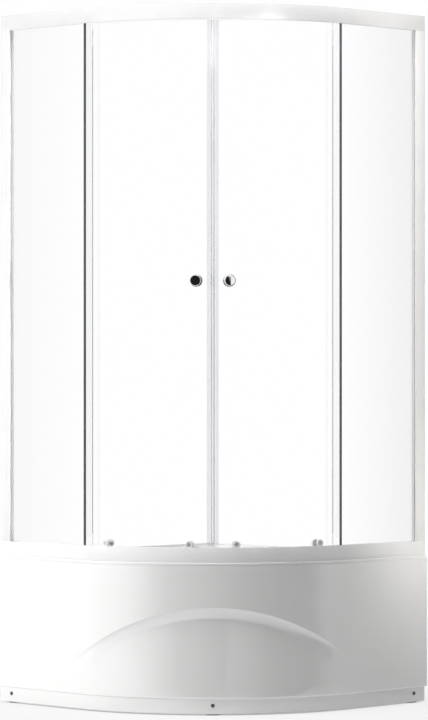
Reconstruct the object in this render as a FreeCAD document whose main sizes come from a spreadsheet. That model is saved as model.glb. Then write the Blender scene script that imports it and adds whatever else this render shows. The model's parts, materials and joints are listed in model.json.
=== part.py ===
"""Corner shower enclosure on a deep quadrant tray.

Frame: millimetres, +Z up, the origin under the middle of the square footprint. The back
wall is the plane y = +tray_side / 2 and the left wall is x = -tray_side / 2. The bowed
front faces +X and -Y. Most pieces are drawn in the path frame: its origin is the centre
of the front arc, its x axis points out through the right-hand side, and its y axis points
to the back wall. The left half mirrors the right half in the vertical diagonal plane.
"""
import FreeCAD, Part
import math
import os
import re
import Sketcher

# Driving dimensions, in millimetres and degrees
DIMENSIONS = {
    # Plan and heights
    "tray_side": 900.0,
    "tray_radius": 550.0,
    "tray_height": 436.0,
    "enclosure_height": 1600.0,
    "wall_gap": 1.0,
    # Tray
    "tray_wall": 5.0,
    "rim_edge": 8.0,
    "rim_front": 66.0,
    "rim_back": 55.0,
    "rim_corner": 8.0,
    "rim_round": 2.5,
    "basin_floor": 125.0,
    "basin_slope": 32.0,
    "basin_corner": 90.0,
    "basin_round": 35.0,
    # Apron with its recessed arch and kick band
    "apron_wall": 4.0,
    "apron_seam": 0.3,
    "kick_height": 47.0,
    "kick_setback": 10.0,
    "kick_clearance": 3.0,
    "arch_radius": 580.0,
    "arch_apex": 308.0,
    "dish_depth": 14.0,
    "dish_start": 13.0,
    "dish_rise": 140.0,
    "dish_lead": 0.6,
    "dish_margin": 20.0,
    "apron_screw_height": 28.0,
    "apron_screw_inset": 48.0,
    "apron_screw_radius": 2.4,
    "apron_screw_head": 5.5,
    "apron_screw_length": 18.0,
    "screw_play": 0.2,
    # Frame, feet and brackets
    "tube_size": 25.0,
    "tube_wall": 1.5,
    "upright_inset": 40.0,
    "upright_setback": 38.0,
    "middle_post": 25.0,
    "brace_reach": 250.0,
    "foot_plate": 4.0,
    "stud_radius": 5.0,
    "stud_bite": 20.0,
    "foot_radius": 22.0,
    "foot_edge": 6.0,
    "foot_height": 16.0,
    "foot_socket": 8.0,
    "nut_size": 9.8,
    "nut_height": 8.0,
    "bracket_wall": 2.5,
    "bracket_width": 40.0,
    "bracket_play": 0.5,
    "bracket_rise": 20.0,
    "bracket_foot": 12.0,
    # Drain
    "drain_reach": 425.0,
    "drain_bore": 22.0,
    "drain_pipe_wall": 3.8,
    "drain_hole_play": 0.2,
    "drain_flange_radius": 36.0,
    "drain_flange_lift": 2.0,
    "drain_thread": 25.0,
    "drain_cover_radius": 32.0,
    "drain_cover_gap": 3.0,
    "drain_cover_wall": 3.0,
    "drain_skirt": 16.0,
    "drain_skirt_wall": 2.0,
    "drain_skirt_play": 0.2,
    "drain_slot": 9.0,
    "gasket_height": 3.0,
    "gasket_width": 12.0,
    "trap_radius": 45.0,
    "trap_height": 87.0,
    "trap_wall": 4.0,
    "outlet_radius": 20.0,
    "outlet_wall": 3.0,
    "outlet_rise": 35.0,
    "outlet_length": 150.0,
    "outlet_neck": 10.0,
    "outlet_step": 1.0,
    "outlet_gap": 2.0,
    "outlet_play": 0.1,
    # Rails, posts and wall profiles
    "rail_inset": 8.0,
    "rail_wall": 1.6,
    "lower_rail_height": 42.0,
    "shelf_drop": 3.0,
    "groove_depth": 15.4,
    "lip_height": 3.0,
    "cover_reach": 5.5,
    "head_room": 4.2,
    "glass_margin": 11.0,
    "post_width": 40.0,
    "post_depth": 24.0,
    "profile_pocket": 24.0,
    "profile_reach": 20.0,
    "profile_play": 0.3,
    "port_size": 10.0,
    "wall_hole_radius": 2.75,
    "wall_hole_margin": 96.5,
    "wall_hole_inner_span": 440.0,
    "frame_screw_radius": 1.75,
    "frame_screw_head": 3.5,
    "frame_screw_head_height": 2.2,
    "frame_screw_bevel": 1.0,
    "frame_screw_bite": 22.0,
    "profile_screw_margin": 96.5,
    "profile_screw_inset": 12.0,
    "profile_screw_length": 7.0,
    # Fixed panes
    "glass_thickness": 5.0,
    "gasket_outer": 2.4,
    "gasket_inner": 1.4,
    "gasket_bed": 2.0,
    "pane_reach": 12.0,
    "trim_wall": 0.8,
    "trim_grip": 2.5,
    "trim_play": 0.5,
    "fin_wall": 1.2,
    "fin_gap": 5.5,
    "fin_lift": 3.0,
    "strip_gap": 10.0,
    # Sliding doors
    "track_offset": 10.0,
    "wheel_diameter": 22.0,
    "wheel_width": 6.0,
    "wheel_float": 4.9,
    "wheel_round": 1.0,
    "wheel_recess": 1.5,
    "wheel_recess_radius": 6.5,
    "track_gap": 0.2,
    "axle_radius": 3.0,
    "running_clearance": 0.05,
    "axle_head": 5.0,
    "axle_side_play": 0.2,
    "hub_radius": 6.0,
    "bush_radius": 4.8,
    "bush_play": 0.2,
    "cap_radius": 11.0,
    "cap_height": 8.0,
    "cap_round": 3.0,
    "cap_seat": 0.25,
    "thread_reach": 6.0,
    "front_roller_angle": 7.5,
    "rear_roller_angle": 36.3,
    "door_gap": 7.0,
    "door_lift": 11.0,
    "magnet_nose": 8.0,
    "magnet_gap": 0.25,
    "magnet_size": 4.4,
    "magnet_play": 0.1,
    "seal_wall": 1.2,
    "seal_fit": 0.1,
    "seal_curve_play": 0.4,
    "seal_width": 17.0,
    "seal_grip": 5.0,
    "seal_end_gap": 1.0,
    "fin_clear": 0.8,
    "fin_play": 2.8,
    # Where each door turns, and how far its stop lets it go
    "pivot_side": 43.0,
    "pivot_back": 90.0,
    "open_angle": 19.4,
    "stop_gap": 0.6,
    "stop_length": 14.0,
    "stop_height": 18.0,
    "stop_play": 1.0,
    # Knobs
    "knob_height": 1243.0,
    "knob_angle": 5.4,
    "knob_diameter": 32.0,
    "knob_base": 37.0,
    "knob_length": 28.0,
    "knob_waist": 20.0,
    "knob_base_height": 4.0,
    "knob_head_height": 10.0,
    "knob_round": 2.0,
    "knob_stud_radius": 2.4,
    "knob_stud_reach": 13.0,
    "knob_tip_gap": 1.0,
    "washer_thickness": 1.0,
    "washer_radius": 14.0,
    "washer_seat": 0.3,
}

doc = FreeCAD.newDocument("ShowerEnclosure")
sheet = doc.addObject("Spreadsheet::Sheet", "Dims")
for row, (alias, size) in enumerate(DIMENSIONS.items(), start=1):
    sheet.set(f"A{row}", alias.replace("_", " "))
    sheet.set(f"B{row}", str(size))
    sheet.setAlias(f"B{row}", alias)
doc.recompute()

subparts = []

# The arc's centre lies this far from the origin along +X and along -Y
CENTRE = "(tray_side / 2 - tray_radius)"

# Places worked out from the driving dimensions: across the path (radii from the arc's centre)
WALL = "(tray_side - tray_radius)"
PATH_END = f"({WALL} - wall_gap)"
RAIL_OUT = "(tray_radius - rail_inset)"
GROOVE_OUT = f"({RAIL_OUT} - rail_wall)"
PANE_OUT = f"({GROOVE_OUT} - gasket_outer)"
PANE_IN = f"({PANE_OUT} - glass_thickness)"
GROOVE_IN = f"({PANE_IN} - gasket_inner)"
FLANGE_IN = f"({GROOVE_IN} - rail_wall)"
TRACK = f"({PANE_IN} - track_offset)"
WHEEL_IN = f"({TRACK} - wheel_width / 2)"
WHEEL_OUT = f"({TRACK} + wheel_width / 2)"
LIP_OUT = f"({WHEEL_IN} - wheel_float)"
LIP_IN = f"({LIP_OUT} - rail_wall)"
DOOR_OUT = f"({LIP_IN} - door_gap)"
DOOR_IN = f"({DOOR_OUT} - glass_thickness)"
COVER_IN = f"({DOOR_IN} - cover_reach)"
POST_IN = f"({RAIL_OUT} - post_depth)"
KICK_OUT = "(tray_radius - kick_setback)"
KICK_IN = f"({KICK_OUT} - apron_wall)"
UPRIGHT = "(tray_radius - upright_setback)"
FIN_TIP = f"({PANE_IN} - trim_wall - fin_play)"

# Along the diagonal: the drain lies behind the arc's centre, at its reach from the room's corner
DRAIN = f"(drain_reach - {WALL} * sqrt(2))"

# Along the right-hand side, from the arc's end to the wall
POST_FRONT = f"({PATH_END} - post_width)"
WEB_BACK = f"({WALL} - profile_pocket)"
WEB_FRONT = f"({WEB_BACK} - rail_wall)"
PORT_FRONT = f"({WEB_FRONT} - port_size)"

# Heights
RIM_UNDER = "(tray_height - tray_wall)"
LOWER_TOP = "(tray_height + lower_rail_height)"
LOWER_SHELF = f"({LOWER_TOP} - shelf_drop)"
LOWER_FLOOR = f"({LOWER_SHELF} - groove_depth)"
TOP = "(tray_height + enclosure_height)"
DOOR_TOP = f"({TOP} - rail_wall - head_room)"
UPPER_AXLE = f"({DOOR_TOP} - glass_margin)"
UPPER_SHELF = f"({UPPER_AXLE} - wheel_diameter / 2 - track_gap)"
UPPER_ROOF = f"({UPPER_SHELF} - rail_wall)"
UPPER_BOTTOM = f"({UPPER_ROOF} - groove_depth)"
LOWER_AXLE = f"({LOWER_SHELF} + wheel_diameter / 2 + track_gap)"
DOOR_BOTTOM = "(tray_height + door_lift)"
SEAL_BOTTOM = f"({LOWER_SHELF} + lip_height + seal_end_gap)"
SEAL_TOP = f"({UPPER_BOTTOM} - seal_end_gap)"
BASIN_UNDER = "(basin_floor - tray_wall)"
BEAM_BOTTOM = f"({BASIN_UNDER} - tube_size)"
UPRIGHT_FOOT = f"({BEAM_BOTTOM} - middle_post)"
STUD_TOP = f"({UPRIGHT_FOOT} + stud_bite)"
DISH_FOOT = "(kick_height + dish_start)"

# Angles from the right-hand side, measured about the arc's centre
DIAGONAL = "-45"
DOOR_START = f"({DIAGONAL} + asin(magnet_nose / {DOOR_OUT}) / 1 deg)"
DOOR_END = f"(-asin((pane_reach + trim_wall - fin_clear + seal_fit) / {FIN_TIP}) / 1 deg)"


def bound(text):
    """Point every dimension named in an expression at its cell of the sheet."""
    def cell(word):
        return "Dims." + word.group() if word.group() in DIMENSIONS else word.group()
    return re.sub(r"[a-z][a-z_]*", cell, text)


def worked_out(text):
    """Give the number that an expression stands for now."""
    result = sheet.evalExpression(bound(text))
    return float(getattr(result, "Value", result))


def bind(item, **expressions):
    """Bind properties of one object to the sheet."""
    for name, text in expressions.items():
        item.setExpression(name, bound(text))


def on_path(item, turn="0", reach="0", side="0", height="0"):
    """Stand an object in the path frame: turned about the arc's centre, moved out and then sideways."""
    x = f"{CENTRE} + ({reach}) * cos({turn}) - ({side}) * sin({turn})"
    y = f"({reach}) * sin({turn}) + ({side}) * cos({turn}) - {CENTRE}"
    item.setExpression("Placement.Base.x", bound(x))
    item.setExpression("Placement.Base.y", bound(y))
    item.setExpression("Placement.Base.z", bound(height))
    item.setExpression("Placement.Rotation.Angle", bound(turn))


def keep(item, name):
    """Make an object one of the sub-parts, under its own name."""
    item.Label = name
    subparts.append(item)
    return item


def new_body(name):
    return doc.addObject("PartDesign::Body", name + "_body")


def new_sketch(body, role, offset="0"):
    """Attach an empty sketch to one of the body's own planes."""
    sketch = body.newObject("Sketcher::SketchObject", body.Name + "_sketch")
    plane = [item for item in body.Origin.OriginFeatures if item.Role == role][0]
    sketch.AttachmentSupport = [(plane, "")]
    sketch.MapMode = "FlatFace"
    sketch.setExpression("AttachmentOffset.Base.z", bound(offset))
    return sketch


def draw(sketch, corners):
    """Draw one closed outline. A corner is (x, y), or (x, y, radius, centre x, centre y) where an
    arc of less than half a turn runs from it to the next corner."""
    start = sketch.GeometryCount
    spots = [FreeCAD.Vector(worked_out(corner[0]), worked_out(corner[1]), 0) for corner in corners]
    ends = []
    for index, corner in enumerate(corners):
        here = spots[index]
        there = spots[(index + 1) % len(spots)]
        if len(corner) == 2:
            sketch.addGeometry(Part.LineSegment(here, there), False)
            ends.append((1, 2))
            continue
        centre = FreeCAD.Vector(worked_out(corner[3]), worked_out(corner[4]), 0)
        first = math.atan2(here.y - centre.y, here.x - centre.x)
        last = math.atan2(there.y - centre.y, there.x - centre.x)
        forward = (here - centre).cross(there - centre).z > 0
        circle = Part.Circle(centre, FreeCAD.Vector(0, 0, 1), worked_out(corner[2]))
        angles = (first, last) if forward else (last, first)
        sketch.addGeometry(Part.ArcOfCircle(circle, *angles), False)
        ends.append((1, 2) if forward else (2, 1))
    for index, corner in enumerate(corners):
        following = (index + 1) % len(corners)
        edge = start + index
        sketch.addConstraint(
            Sketcher.Constraint("Coincident", edge, ends[index][1], start + following, ends[following][0]))
        for kind, value, text in (("DistanceX", spots[index].x, corner[0]),
                                  ("DistanceY", spots[index].y, corner[1])):
            number = sketch.addConstraint(Sketcher.Constraint(kind, -1, 1, edge, ends[index][0], value))
            sketch.setExpression(f"Constraints[{number}]", bound(text))
        if len(corner) > 2:
            number = sketch.addConstraint(Sketcher.Constraint("Radius", edge, worked_out(corner[2])))
            sketch.setExpression(f"Constraints[{number}]", bound(corner[2]))


def rectangle(left, right, low, high):
    return [(left, low), (right, low), (right, high), (left, high)]


def upright(name, loops, bottom, top, turn="0"):
    """Extrude plan outlines of the path frame from one height to another."""
    body = new_body(name)
    sketch = new_sketch(body, "XY_Plane")
    for loop in loops:
        draw(sketch, loop)
    pad = body.newObject("PartDesign::Pad", name + "_pad")
    pad.Profile = sketch
    bind(pad, Length=f"{top} - {bottom}")
    on_path(body, turn, height=bottom)
    return body


def turned(name, corners, height, turn="0", side="0"):
    """Revolve a profile about an axis that points straight out of the path. A corner is the
    distance from the arc's centre and the radius about the axis."""
    body = new_body(name)
    sketch = new_sketch(body, "XY_Plane")
    draw(sketch, corners)
    revolution = body.newObject("PartDesign::Revolution", name + "_revolution")
    revolution.Profile = sketch
    revolution.ReferenceAxis = (sketch, ["H_Axis"])
    revolution.Angle = 360
    on_path(body, turn, side=side, height=height)
    return body


def spun(name, corners, turn="0", reach="0", side="0"):
    """Revolve a profile of radius and height about an upright axis."""
    body = new_body(name)
    sketch = new_sketch(body, "XZ_Plane")
    draw(sketch, corners)
    revolution = body.newObject("PartDesign::Revolution", name + "_revolution")
    revolution.Profile = sketch
    revolution.ReferenceAxis = (sketch, ["V_Axis"])
    revolution.Angle = 360
    on_path(body, turn, reach, side)
    return body


def half_path(name, loops):
    """Run a section along the right half of the front: a bent eighth of a turn and a straight."""
    body = new_body(name)
    sketch = new_sketch(body, "XZ_Plane")
    for loop in loops:
        draw(sketch, loop)
    bend = body.newObject("PartDesign::Revolution", name + "_bend")
    bend.Profile = sketch
    bend.ReferenceAxis = (sketch, ["V_Axis"])
    bend.Angle = 45
    bend.Reversed = True
    straight = body.newObject("PartDesign::Pad", name + "_straight")
    straight.Profile = sketch
    straight.Reversed = True
    bind(straight, Length=PATH_END)
    on_path(body)
    return body


def join(name, items):
    whole = doc.addObject("Part::MultiFuse", name)
    whole.Shapes = items
    whole.Refine = True
    return whole


def cut(name, base, tools):
    piece = doc.addObject("Part::Cut", name)
    piece.Base = base
    piece.Tool = join(name + "_tools", tools) if len(tools) > 1 else tools[0]
    piece.Refine = True
    return piece


def common(name, first, second):
    piece = doc.addObject("Part::Common", name)
    piece.Base = first
    piece.Tool = second
    return piece


def group(name, items):
    """Hold several like solids as one sub-part."""
    piece = doc.addObject("Part::Compound", name)
    piece.Links = items
    return piece


def mirrored(name, item):
    """Copy a piece of the right half to the left half."""
    piece = doc.addObject("Part::Mirroring", name)
    piece.Source = item
    piece.Normal = FreeCAD.Vector(1, 1, 0)
    return piece


def keep_pair(item, name):
    """Keep a piece of the right half, and its mirror image, as two sub-parts."""
    keep(item, "right_" + name)
    keep(mirrored("left_" + name, item), "left_" + name)


def keep_whole(half, name):
    """Keep a right half joined to its mirror image as one sub-part."""
    return keep(join(name, [half, mirrored(name + "_mirror", half)]), name)


def quadrant(back, radius, corner):
    """Plan outline of the tray: straight along both walls, bowed in front."""
    wall = f"({WALL} - {back})"
    left = f"(-{wall} + {corner})"
    near = f"({wall} - {corner})"
    inner = f"({radius} - {corner})"
    return [
        (radius, "0"),
        (radius, near, corner, inner, near),
        (inner, wall),
        (left, wall, corner, left, near),
        (f"-{wall}", near),
        (f"-{wall}", f"-{inner}", corner, left, f"-{inner}"),
        (left, f"-{radius}"),
        ("0", f"-{radius}", radius, "0", "0"),
    ]


def level_edges(shape, height):
    """Names of the edges that lie at one height."""
    names = []
    for number, edge in enumerate(shape.Edges, start=1):
        box = edge.BoundBox
        if abs(box.ZMin - height) < 1e-4 and abs(box.ZMax - height) < 1e-4:
            names.append(f"Edge{number}")
    return names


def round_edges(body, name, names, radius):
    base = body.Tip
    fillet = body.newObject("PartDesign::Fillet", name)
    fillet.Base = (base, names)
    bind(fillet, Radius=radius)
    doc.recompute()
    return fillet


def make_tray():
    """Moulded tray: flat rim with a turned-down edge and a tapered basin with a drain hole."""
    body = new_body("tray")
    rim_radius = "(tray_radius - rim_front)"

    def slab(name, bottom, thickness, loops):
        sketch = new_sketch(body, "XY_Plane", bottom)
        for loop in loops:
            draw(sketch, loop)
        pad = body.newObject("PartDesign::Pad", name)
        pad.Profile = sketch
        bind(pad, Length=thickness)

    def basin(kind, name, top, bottom, skin):
        sections = []
        for height, slope in ((top, "0"), (bottom, "basin_slope")):
            sketch = new_sketch(body, "XY_Plane", height)
            draw(sketch, quadrant(f"(rim_back + {slope} - {skin})", f"({rim_radius} - {slope} + {skin})",
                                  f"(basin_corner + {skin})"))
            sections.append(sketch)
        loft = body.newObject(kind, name)
        loft.Profile = sections[0]
        loft.Sections = sections[1:]
        loft.Ruled = True
        doc.recompute()

    slab("tray_rim", RIM_UNDER, "tray_wall", [quadrant("0", "tray_radius", "rim_corner")])
    slab("tray_rim_edge", "(tray_height - rim_edge)", "rim_edge - tray_wall",
         [quadrant("0", "tray_radius", "rim_corner"),
          quadrant("tray_wall", "(tray_radius - tray_wall)", "rim_corner")])
    basin("PartDesign::AdditiveLoft", "tray_basin_outside", RIM_UNDER, BASIN_UNDER, "tray_wall")
    basin("PartDesign::SubtractiveLoft", "tray_basin_inside", "tray_height", "basin_floor", "0")
    floor = worked_out("basin_floor")
    round_edges(body, "tray_floor_round", level_edges(body.Shape, floor), "basin_round")
    under = worked_out(BASIN_UNDER)
    round_edges(body, "tray_under_round", level_edges(body.Shape, under), "basin_round + tray_wall")
    top = worked_out("tray_height")
    round_edges(body, "tray_rim_round", level_edges(body.Shape, top), "rim_round")
    on_path(body)
    hole = "(drain_bore + drain_pipe_wall + drain_hole_play)"
    drain = spun("drain_hole", rectangle("0", hole, "0", "tray_height"), DIAGONAL, DRAIN)
    keep(cut("tray", body, [drain]), "tray")


def make_apron():
    """Bowed front panel with a recessed arch, and a kick band stepped in below it."""
    top = "(tray_height - rim_edge - apron_seam)"
    inside = "(tray_radius - apron_wall)"
    shell = half_path("apron_shell", [[
        ("tray_radius", top), (inside, top), (inside, "kick_height + apron_wall"),
        (KICK_IN, "kick_height + apron_wall"), (KICK_IN, "kick_clearance"), (KICK_OUT, "kick_clearance"),
        (KICK_OUT, "kick_height"), ("tray_radius", "kick_height")]])

    def dish(name, skin, outside, margin):
        """Region from the dish's floor out to a radius. The floor leaves the panel in an S curve."""
        lip = f"(tray_radius + dish_lead - {skin})"
        depth = "(dish_depth + dish_lead)"
        bend = f"(((dish_rise / 2)^2 + ({depth} / 2)^2) / {depth})"
        middle = f"({DISH_FOOT} + dish_rise / 2)"
        level = f"({DISH_FOOT} + dish_rise)"
        ceiling = f"(arch_apex + {margin})"
        return half_path(name, [[
            (lip, DISH_FOOT, bend, f"{lip} - {bend}", DISH_FOOT),
            (f"{lip} - {depth} / 2", middle, bend, f"{lip} - {depth} + {bend}", level),
            (f"{lip} - {depth}", level), (f"{lip} - {depth}", ceiling),
            (outside, ceiling), (outside, DISH_FOOT)]])

    def arch(name, skin):
        drum = rectangle("0", "tray_radius + arch_radius", "0", f"arch_radius + {skin}")
        return turned(name, drum, "arch_apex - arch_radius", DIAGONAL)

    plug = common("apron_dish_back", arch("apron_arch_back", "apron_wall"),
                  dish("apron_dish_back_region", "apron_wall", "(tray_radius - apron_wall / 2)",
                       "(dish_margin + apron_wall)"))
    recess = common("apron_dish", arch("apron_arch", "0"),
                    dish("apron_dish_region", "0", "(tray_radius + 2 * dish_lead)", "dish_margin"))
    hole = rectangle(f"{KICK_IN} - apron_wall", "tray_radius", "0", "apron_screw_radius + screw_play")
    holes = [turned("apron_middle_hole", hole, "apron_screw_height", DIAGONAL),
             turned("apron_side_hole", hole, "apron_screw_height", side=f"{WALL} - apron_screw_inset")]
    half = cut("apron_half", join("apron_with_back", [shell, plug]), [recess] + holes)
    keep_whole(half, "apron")


def make_apron_fasteners():
    """Pan-head screws through the kick band, and the angle brackets that they bite into."""
    end = f"({KICK_OUT} - apron_screw_length)"
    face = f"({KICK_OUT} + screw_play / 2)"
    crown = f"({face} + apron_screw_radius)"
    brow = f"({face} + apron_screw_radius / 2)"
    shank = "apron_screw_radius"
    profile = [(end, "0"), (end, shank), (face, shank), (face, "apron_screw_head"),
               (brow, "apron_screw_head"), (crown, shank), (crown, "0")]
    side = f"({WALL} - apron_screw_inset)"
    right = turned("apron_side_screw", profile, "apron_screw_height", side=side)
    keep(group("apron_screws", [turned("apron_middle_screw", profile, "apron_screw_height", DIAGONAL), right,
                                mirrored("apron_side_screw_mirror", right)]), "apron_screws")

    def bracket(name, turn="0", offset="0"):
        body = new_body(name)
        sketch = new_sketch(body, "XZ_Plane")
        face = f"({KICK_IN} - bracket_play)"
        back = f"({face} - bracket_wall)"
        tube = f"({UPRIGHT} + tube_size / 2)"
        top = f"({UPRIGHT_FOOT} + bracket_rise)"
        draw(sketch, [(tube, top), (tube, f"{top} - bracket_wall"), (back, f"{top} - bracket_wall"),
                      (back, "bracket_foot"), (face, "bracket_foot"), (face, top)])
        pad = body.newObject("PartDesign::Pad", name + "_pad")
        pad.Profile = sketch
        pad.Midplane = True
        bind(pad, Length="bracket_width")
        on_path(body, turn, side=offset)
        bite = rectangle(end, "tray_radius", "0", "apron_screw_radius + screw_play")
        return cut(name, body, [turned(name + "_hole", bite, "apron_screw_height", turn, offset)])

    right_bracket = bracket("side_bracket", offset=side)
    keep(group("apron_brackets", [bracket("middle_bracket", DIAGONAL), right_bracket,
                                  mirrored("side_bracket_mirror", right_bracket)]), "apron_brackets")


def square(size, x="0", y="0"):
    return rectangle(f"{x} - {size} / 2", f"{x} + {size} / 2", f"{y} - {size} / 2", f"{y} + {size} / 2")


def make_frame():
    """Square-tube frame under the tray: four uprights, a short middle one and the beams between."""
    bore = "(tube_size - 2 * tube_wall)"
    back = f"({WALL} - upright_inset)"
    corner = (f"-{back}", back)
    right = (UPRIGHT, back)
    front = (f"{UPRIGHT} * cos(45)", f"-{UPRIGHT} * sin(45)")
    side_middle = (f"({UPRIGHT} + {front[0]}) / 2", f"({back} + {front[1]}) / 2")
    brace_reach = f"(({side_middle[0]} - ({side_middle[1]})) / sqrt(2))"
    spots = {
        "back": ("0", f"-{back}", back, RIM_UNDER),
        "right": ("0", UPRIGHT, back, RIM_UNDER),
        "left": ("0", f"-{back}", f"-{UPRIGHT}", RIM_UNDER),
        "front": (DIAGONAL, UPRIGHT, "0", RIM_UNDER),
        "middle": (DIAGONAL, brace_reach, "0", BEAM_BOTTOM),
    }
    plate_top = f"({UPRIGHT_FOOT} + foot_plate)"
    thread = "(stud_radius + running_clearance)"
    uprights = []
    blocks = {}
    pads = []
    studs = []
    nuts = []
    for name, (turn, x, y, top) in spots.items():
        tube = upright(name + "_tube", [square("tube_size", x, y), square(bore, x, y)], plate_top, top, turn)
        plate = upright(name + "_plate", [square("tube_size", x, y)], UPRIGHT_FOOT, plate_top, turn)
        hole = spun(name + "_stud_hole", rectangle("0", "stud_radius + screw_play", "0", STUD_TOP), turn, x, y)
        uprights.append(join(name + "_upright", [tube, cut(name + "_foot_plate", plate, [hole])]))
        blocks[name] = upright(name + "_block", [square("tube_size", x, y)], UPRIGHT_FOOT, top, turn)
        pads.append(spun(name + "_pad", [
            ("0", "0"), ("foot_radius", "0"), ("foot_radius", "foot_edge"),
            ("stud_radius + foot_socket", "foot_height"), (thread, "foot_height"), (thread, "foot_socket"),
            ("0", "foot_socket")], turn, x, y))
        studs.append(spun(name + "_stud", rectangle("0", "stud_radius", "foot_socket", STUD_TOP), turn, x, y))
        nut = doc.addObject("Part::Prism", name + "_nut_blank")
        nut.Polygon = 6
        bind(nut, Circumradius="nut_size", Height="nut_height")
        on_path(nut, turn, x, y, f"{UPRIGHT_FOOT} - nut_height")
        nut_bore = spun(name + "_nut_bore", rectangle("0", thread, "0", UPRIGHT_FOOT), turn, x, y)
        nuts.append(cut(name + "_nut", nut, [nut_bore]))

    def bar(name, sizes, first, last):
        """Bar or tube along a line between two points of the path frame, under the basin."""
        across = f"(({last[0]}) - ({first[0]}))"
        along = f"(({last[1]}) - ({first[1]}))"
        body = new_body(name)
        sketch = new_sketch(body, "YZ_Plane")
        for size in sizes:
            draw(sketch, square(size))
        pad = body.newObject("PartDesign::Pad", name + "_pad")
        pad.Profile = sketch
        bind(pad, Length=f"sqrt({across}^2 + {along}^2)")
        body.setExpression("Placement.Base.x", bound(f"{CENTRE} + ({first[0]})"))
        body.setExpression("Placement.Base.y", bound(f"({first[1]}) - {CENTRE}"))
        body.setExpression("Placement.Base.z", bound(f"{BEAM_BOTTOM} + tube_size / 2"))
        body.setExpression("Placement.Rotation.Angle", bound(f"atan2({along}; {across})"))
        return body

    def beam(name, first, last, neighbours):
        """Tube cut square or mitred where it meets its neighbours."""
        return cut(name + "_beam", bar(name, ["tube_size", bore], first, last), neighbours)

    back_beam = beam("back", corner, right, [blocks["back"], blocks["right"]])
    side_beam = beam("side", right, front, [blocks["right"], blocks["front"]])
    back_bar = bar("back_bar", ["tube_size"], corner, right)
    side_bar = bar("side_bar", ["tube_size"], right, front)
    rear_brace = beam("rear_brace", (f"brace_reach - {back}", back), (f"-{back}", f"{back} - brace_reach"),
                      [back_bar, mirrored("left_bar", back_bar)])
    front_brace = beam("front_brace", side_middle, (f"-({side_middle[1]})", f"-({side_middle[0]})"),
                       [side_bar, mirrored("left_side_bar", side_bar)])
    beams = [back_beam, mirrored("left_beam", back_beam), side_beam, mirrored("left_side_beam", side_beam),
             rear_brace, front_brace]
    for name, items in (("frame_uprights", uprights), ("frame_beams", beams), ("foot_pads", pads),
                        ("foot_studs", studs), ("foot_nuts", nuts)):
        keep(group(name, items), name)


def make_drain():
    """Drain in the basin's floor: screwed flange, slotted cover, gasket, trap and waste pipe."""
    where = (DIAGONAL, DRAIN)
    pipe = "(drain_bore + drain_pipe_wall)"
    rim = "(basin_floor + drain_flange_lift)"
    thread_end = "(basin_floor - drain_thread)"
    keep(spun("drain_flange", [
        ("drain_bore", rim), ("drain_bore", thread_end), (pipe, thread_end), (pipe, "basin_floor"),
        ("drain_flange_radius", "basin_floor"), ("drain_flange_radius - drain_flange_lift", rim)],
        *where), "drain_flange")

    skirt = "(drain_bore - drain_skirt_play)"
    under = f"({rim} + drain_cover_gap)"
    foot = f"({under} - drain_skirt)"
    crown = f"({under} + drain_cover_wall)"
    cover = spun("drain_cover_blank", [
        (f"{skirt} - drain_skirt_wall", foot), (skirt, foot), (skirt, under), ("drain_cover_radius", under),
        ("drain_cover_radius - drain_cover_wall", crown), ("0", crown), ("0", under),
        (f"{skirt} - drain_skirt_wall", under)], *where)
    slots = []
    narrow = "drain_slot / 2"
    for name, half_x, half_y in (("along", "drain_bore", narrow), ("across", narrow, "drain_bore")):
        plan = rectangle(f"{DRAIN} - {half_x}", f"{DRAIN} + {half_x}", f"-{half_y}", half_y)
        slots.append(upright(f"drain_slot_{name}", [plan], f"({foot} + drain_skirt_wall)", under, DIAGONAL))
    keep(cut("drain_cover", cover, slots), "drain_cover")

    seal_in = f"({pipe} + drain_hole_play)"
    seal_out = f"({seal_in} + gasket_width)"
    seat = f"({BASIN_UNDER} - gasket_height)"
    keep(spun("drain_gasket", rectangle(seal_in, seal_out, seat, BASIN_UNDER), *where), "drain_gasket")

    hollow = "(trap_radius - trap_wall)"
    floor = f"({seat} - trap_height)"
    inside = f"({floor} + trap_wall)"
    outlet = f"({floor} + outlet_rise)"
    pot = spun("trap_pot", [
        (seal_in, seat), ("trap_radius", seat), ("trap_radius", floor), ("0", floor), ("0", inside),
        (hollow, inside), (hollow, f"{seat} - trap_wall"), (seal_in, f"{seat} - trap_wall")], *where)
    drain_x = f"({DRAIN} * cos(45))"
    drain_y = f"(-{DRAIN} * sin(45))"
    shoulder = f"({drain_y} + trap_radius)"
    socket_end = f"({shoulder} + outlet_neck)"
    pipe_end = f"({shoulder} + outlet_length)"
    way = "(outlet_radius - outlet_wall)"
    plug = "(outlet_radius - outlet_step)"
    plug_end = f"({socket_end} + outlet_gap)"
    socket_in = f"({plug} + outlet_play)"
    across = (outlet, "90", f"-{drain_x}")
    socket = turned("trap_socket", rectangle(drain_y, socket_end, "0", f"{socket_in} + outlet_wall"), *across)
    socket_bore = turned("trap_socket_bore", [
        (drain_y, "0"), (drain_y, way), (shoulder, way), (shoulder, socket_in), (pipe_end, socket_in),
        (pipe_end, "0")], *across)
    pot_bore = spun("trap_pot_bore", rectangle("0", hollow, inside, f"{seat} - trap_wall"), *where)
    keep(cut("drain_trap", join("trap_body", [pot, socket]), [socket_bore, pot_bore]), "drain_trap")
    keep(turned("waste_pipe", [
        (shoulder, way), (shoulder, plug), (plug_end, plug), (plug_end, "outlet_radius"),
        (pipe_end, "outlet_radius"), (pipe_end, way)], *across), "waste_pipe")


def screw_spot():
    """Where the screws of the frame's corners stand: in the port of each post."""
    return f"(({POST_IN} + {GROOVE_IN}) / 2)", f"({PORT_FRONT} + port_size / 2)"


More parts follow.
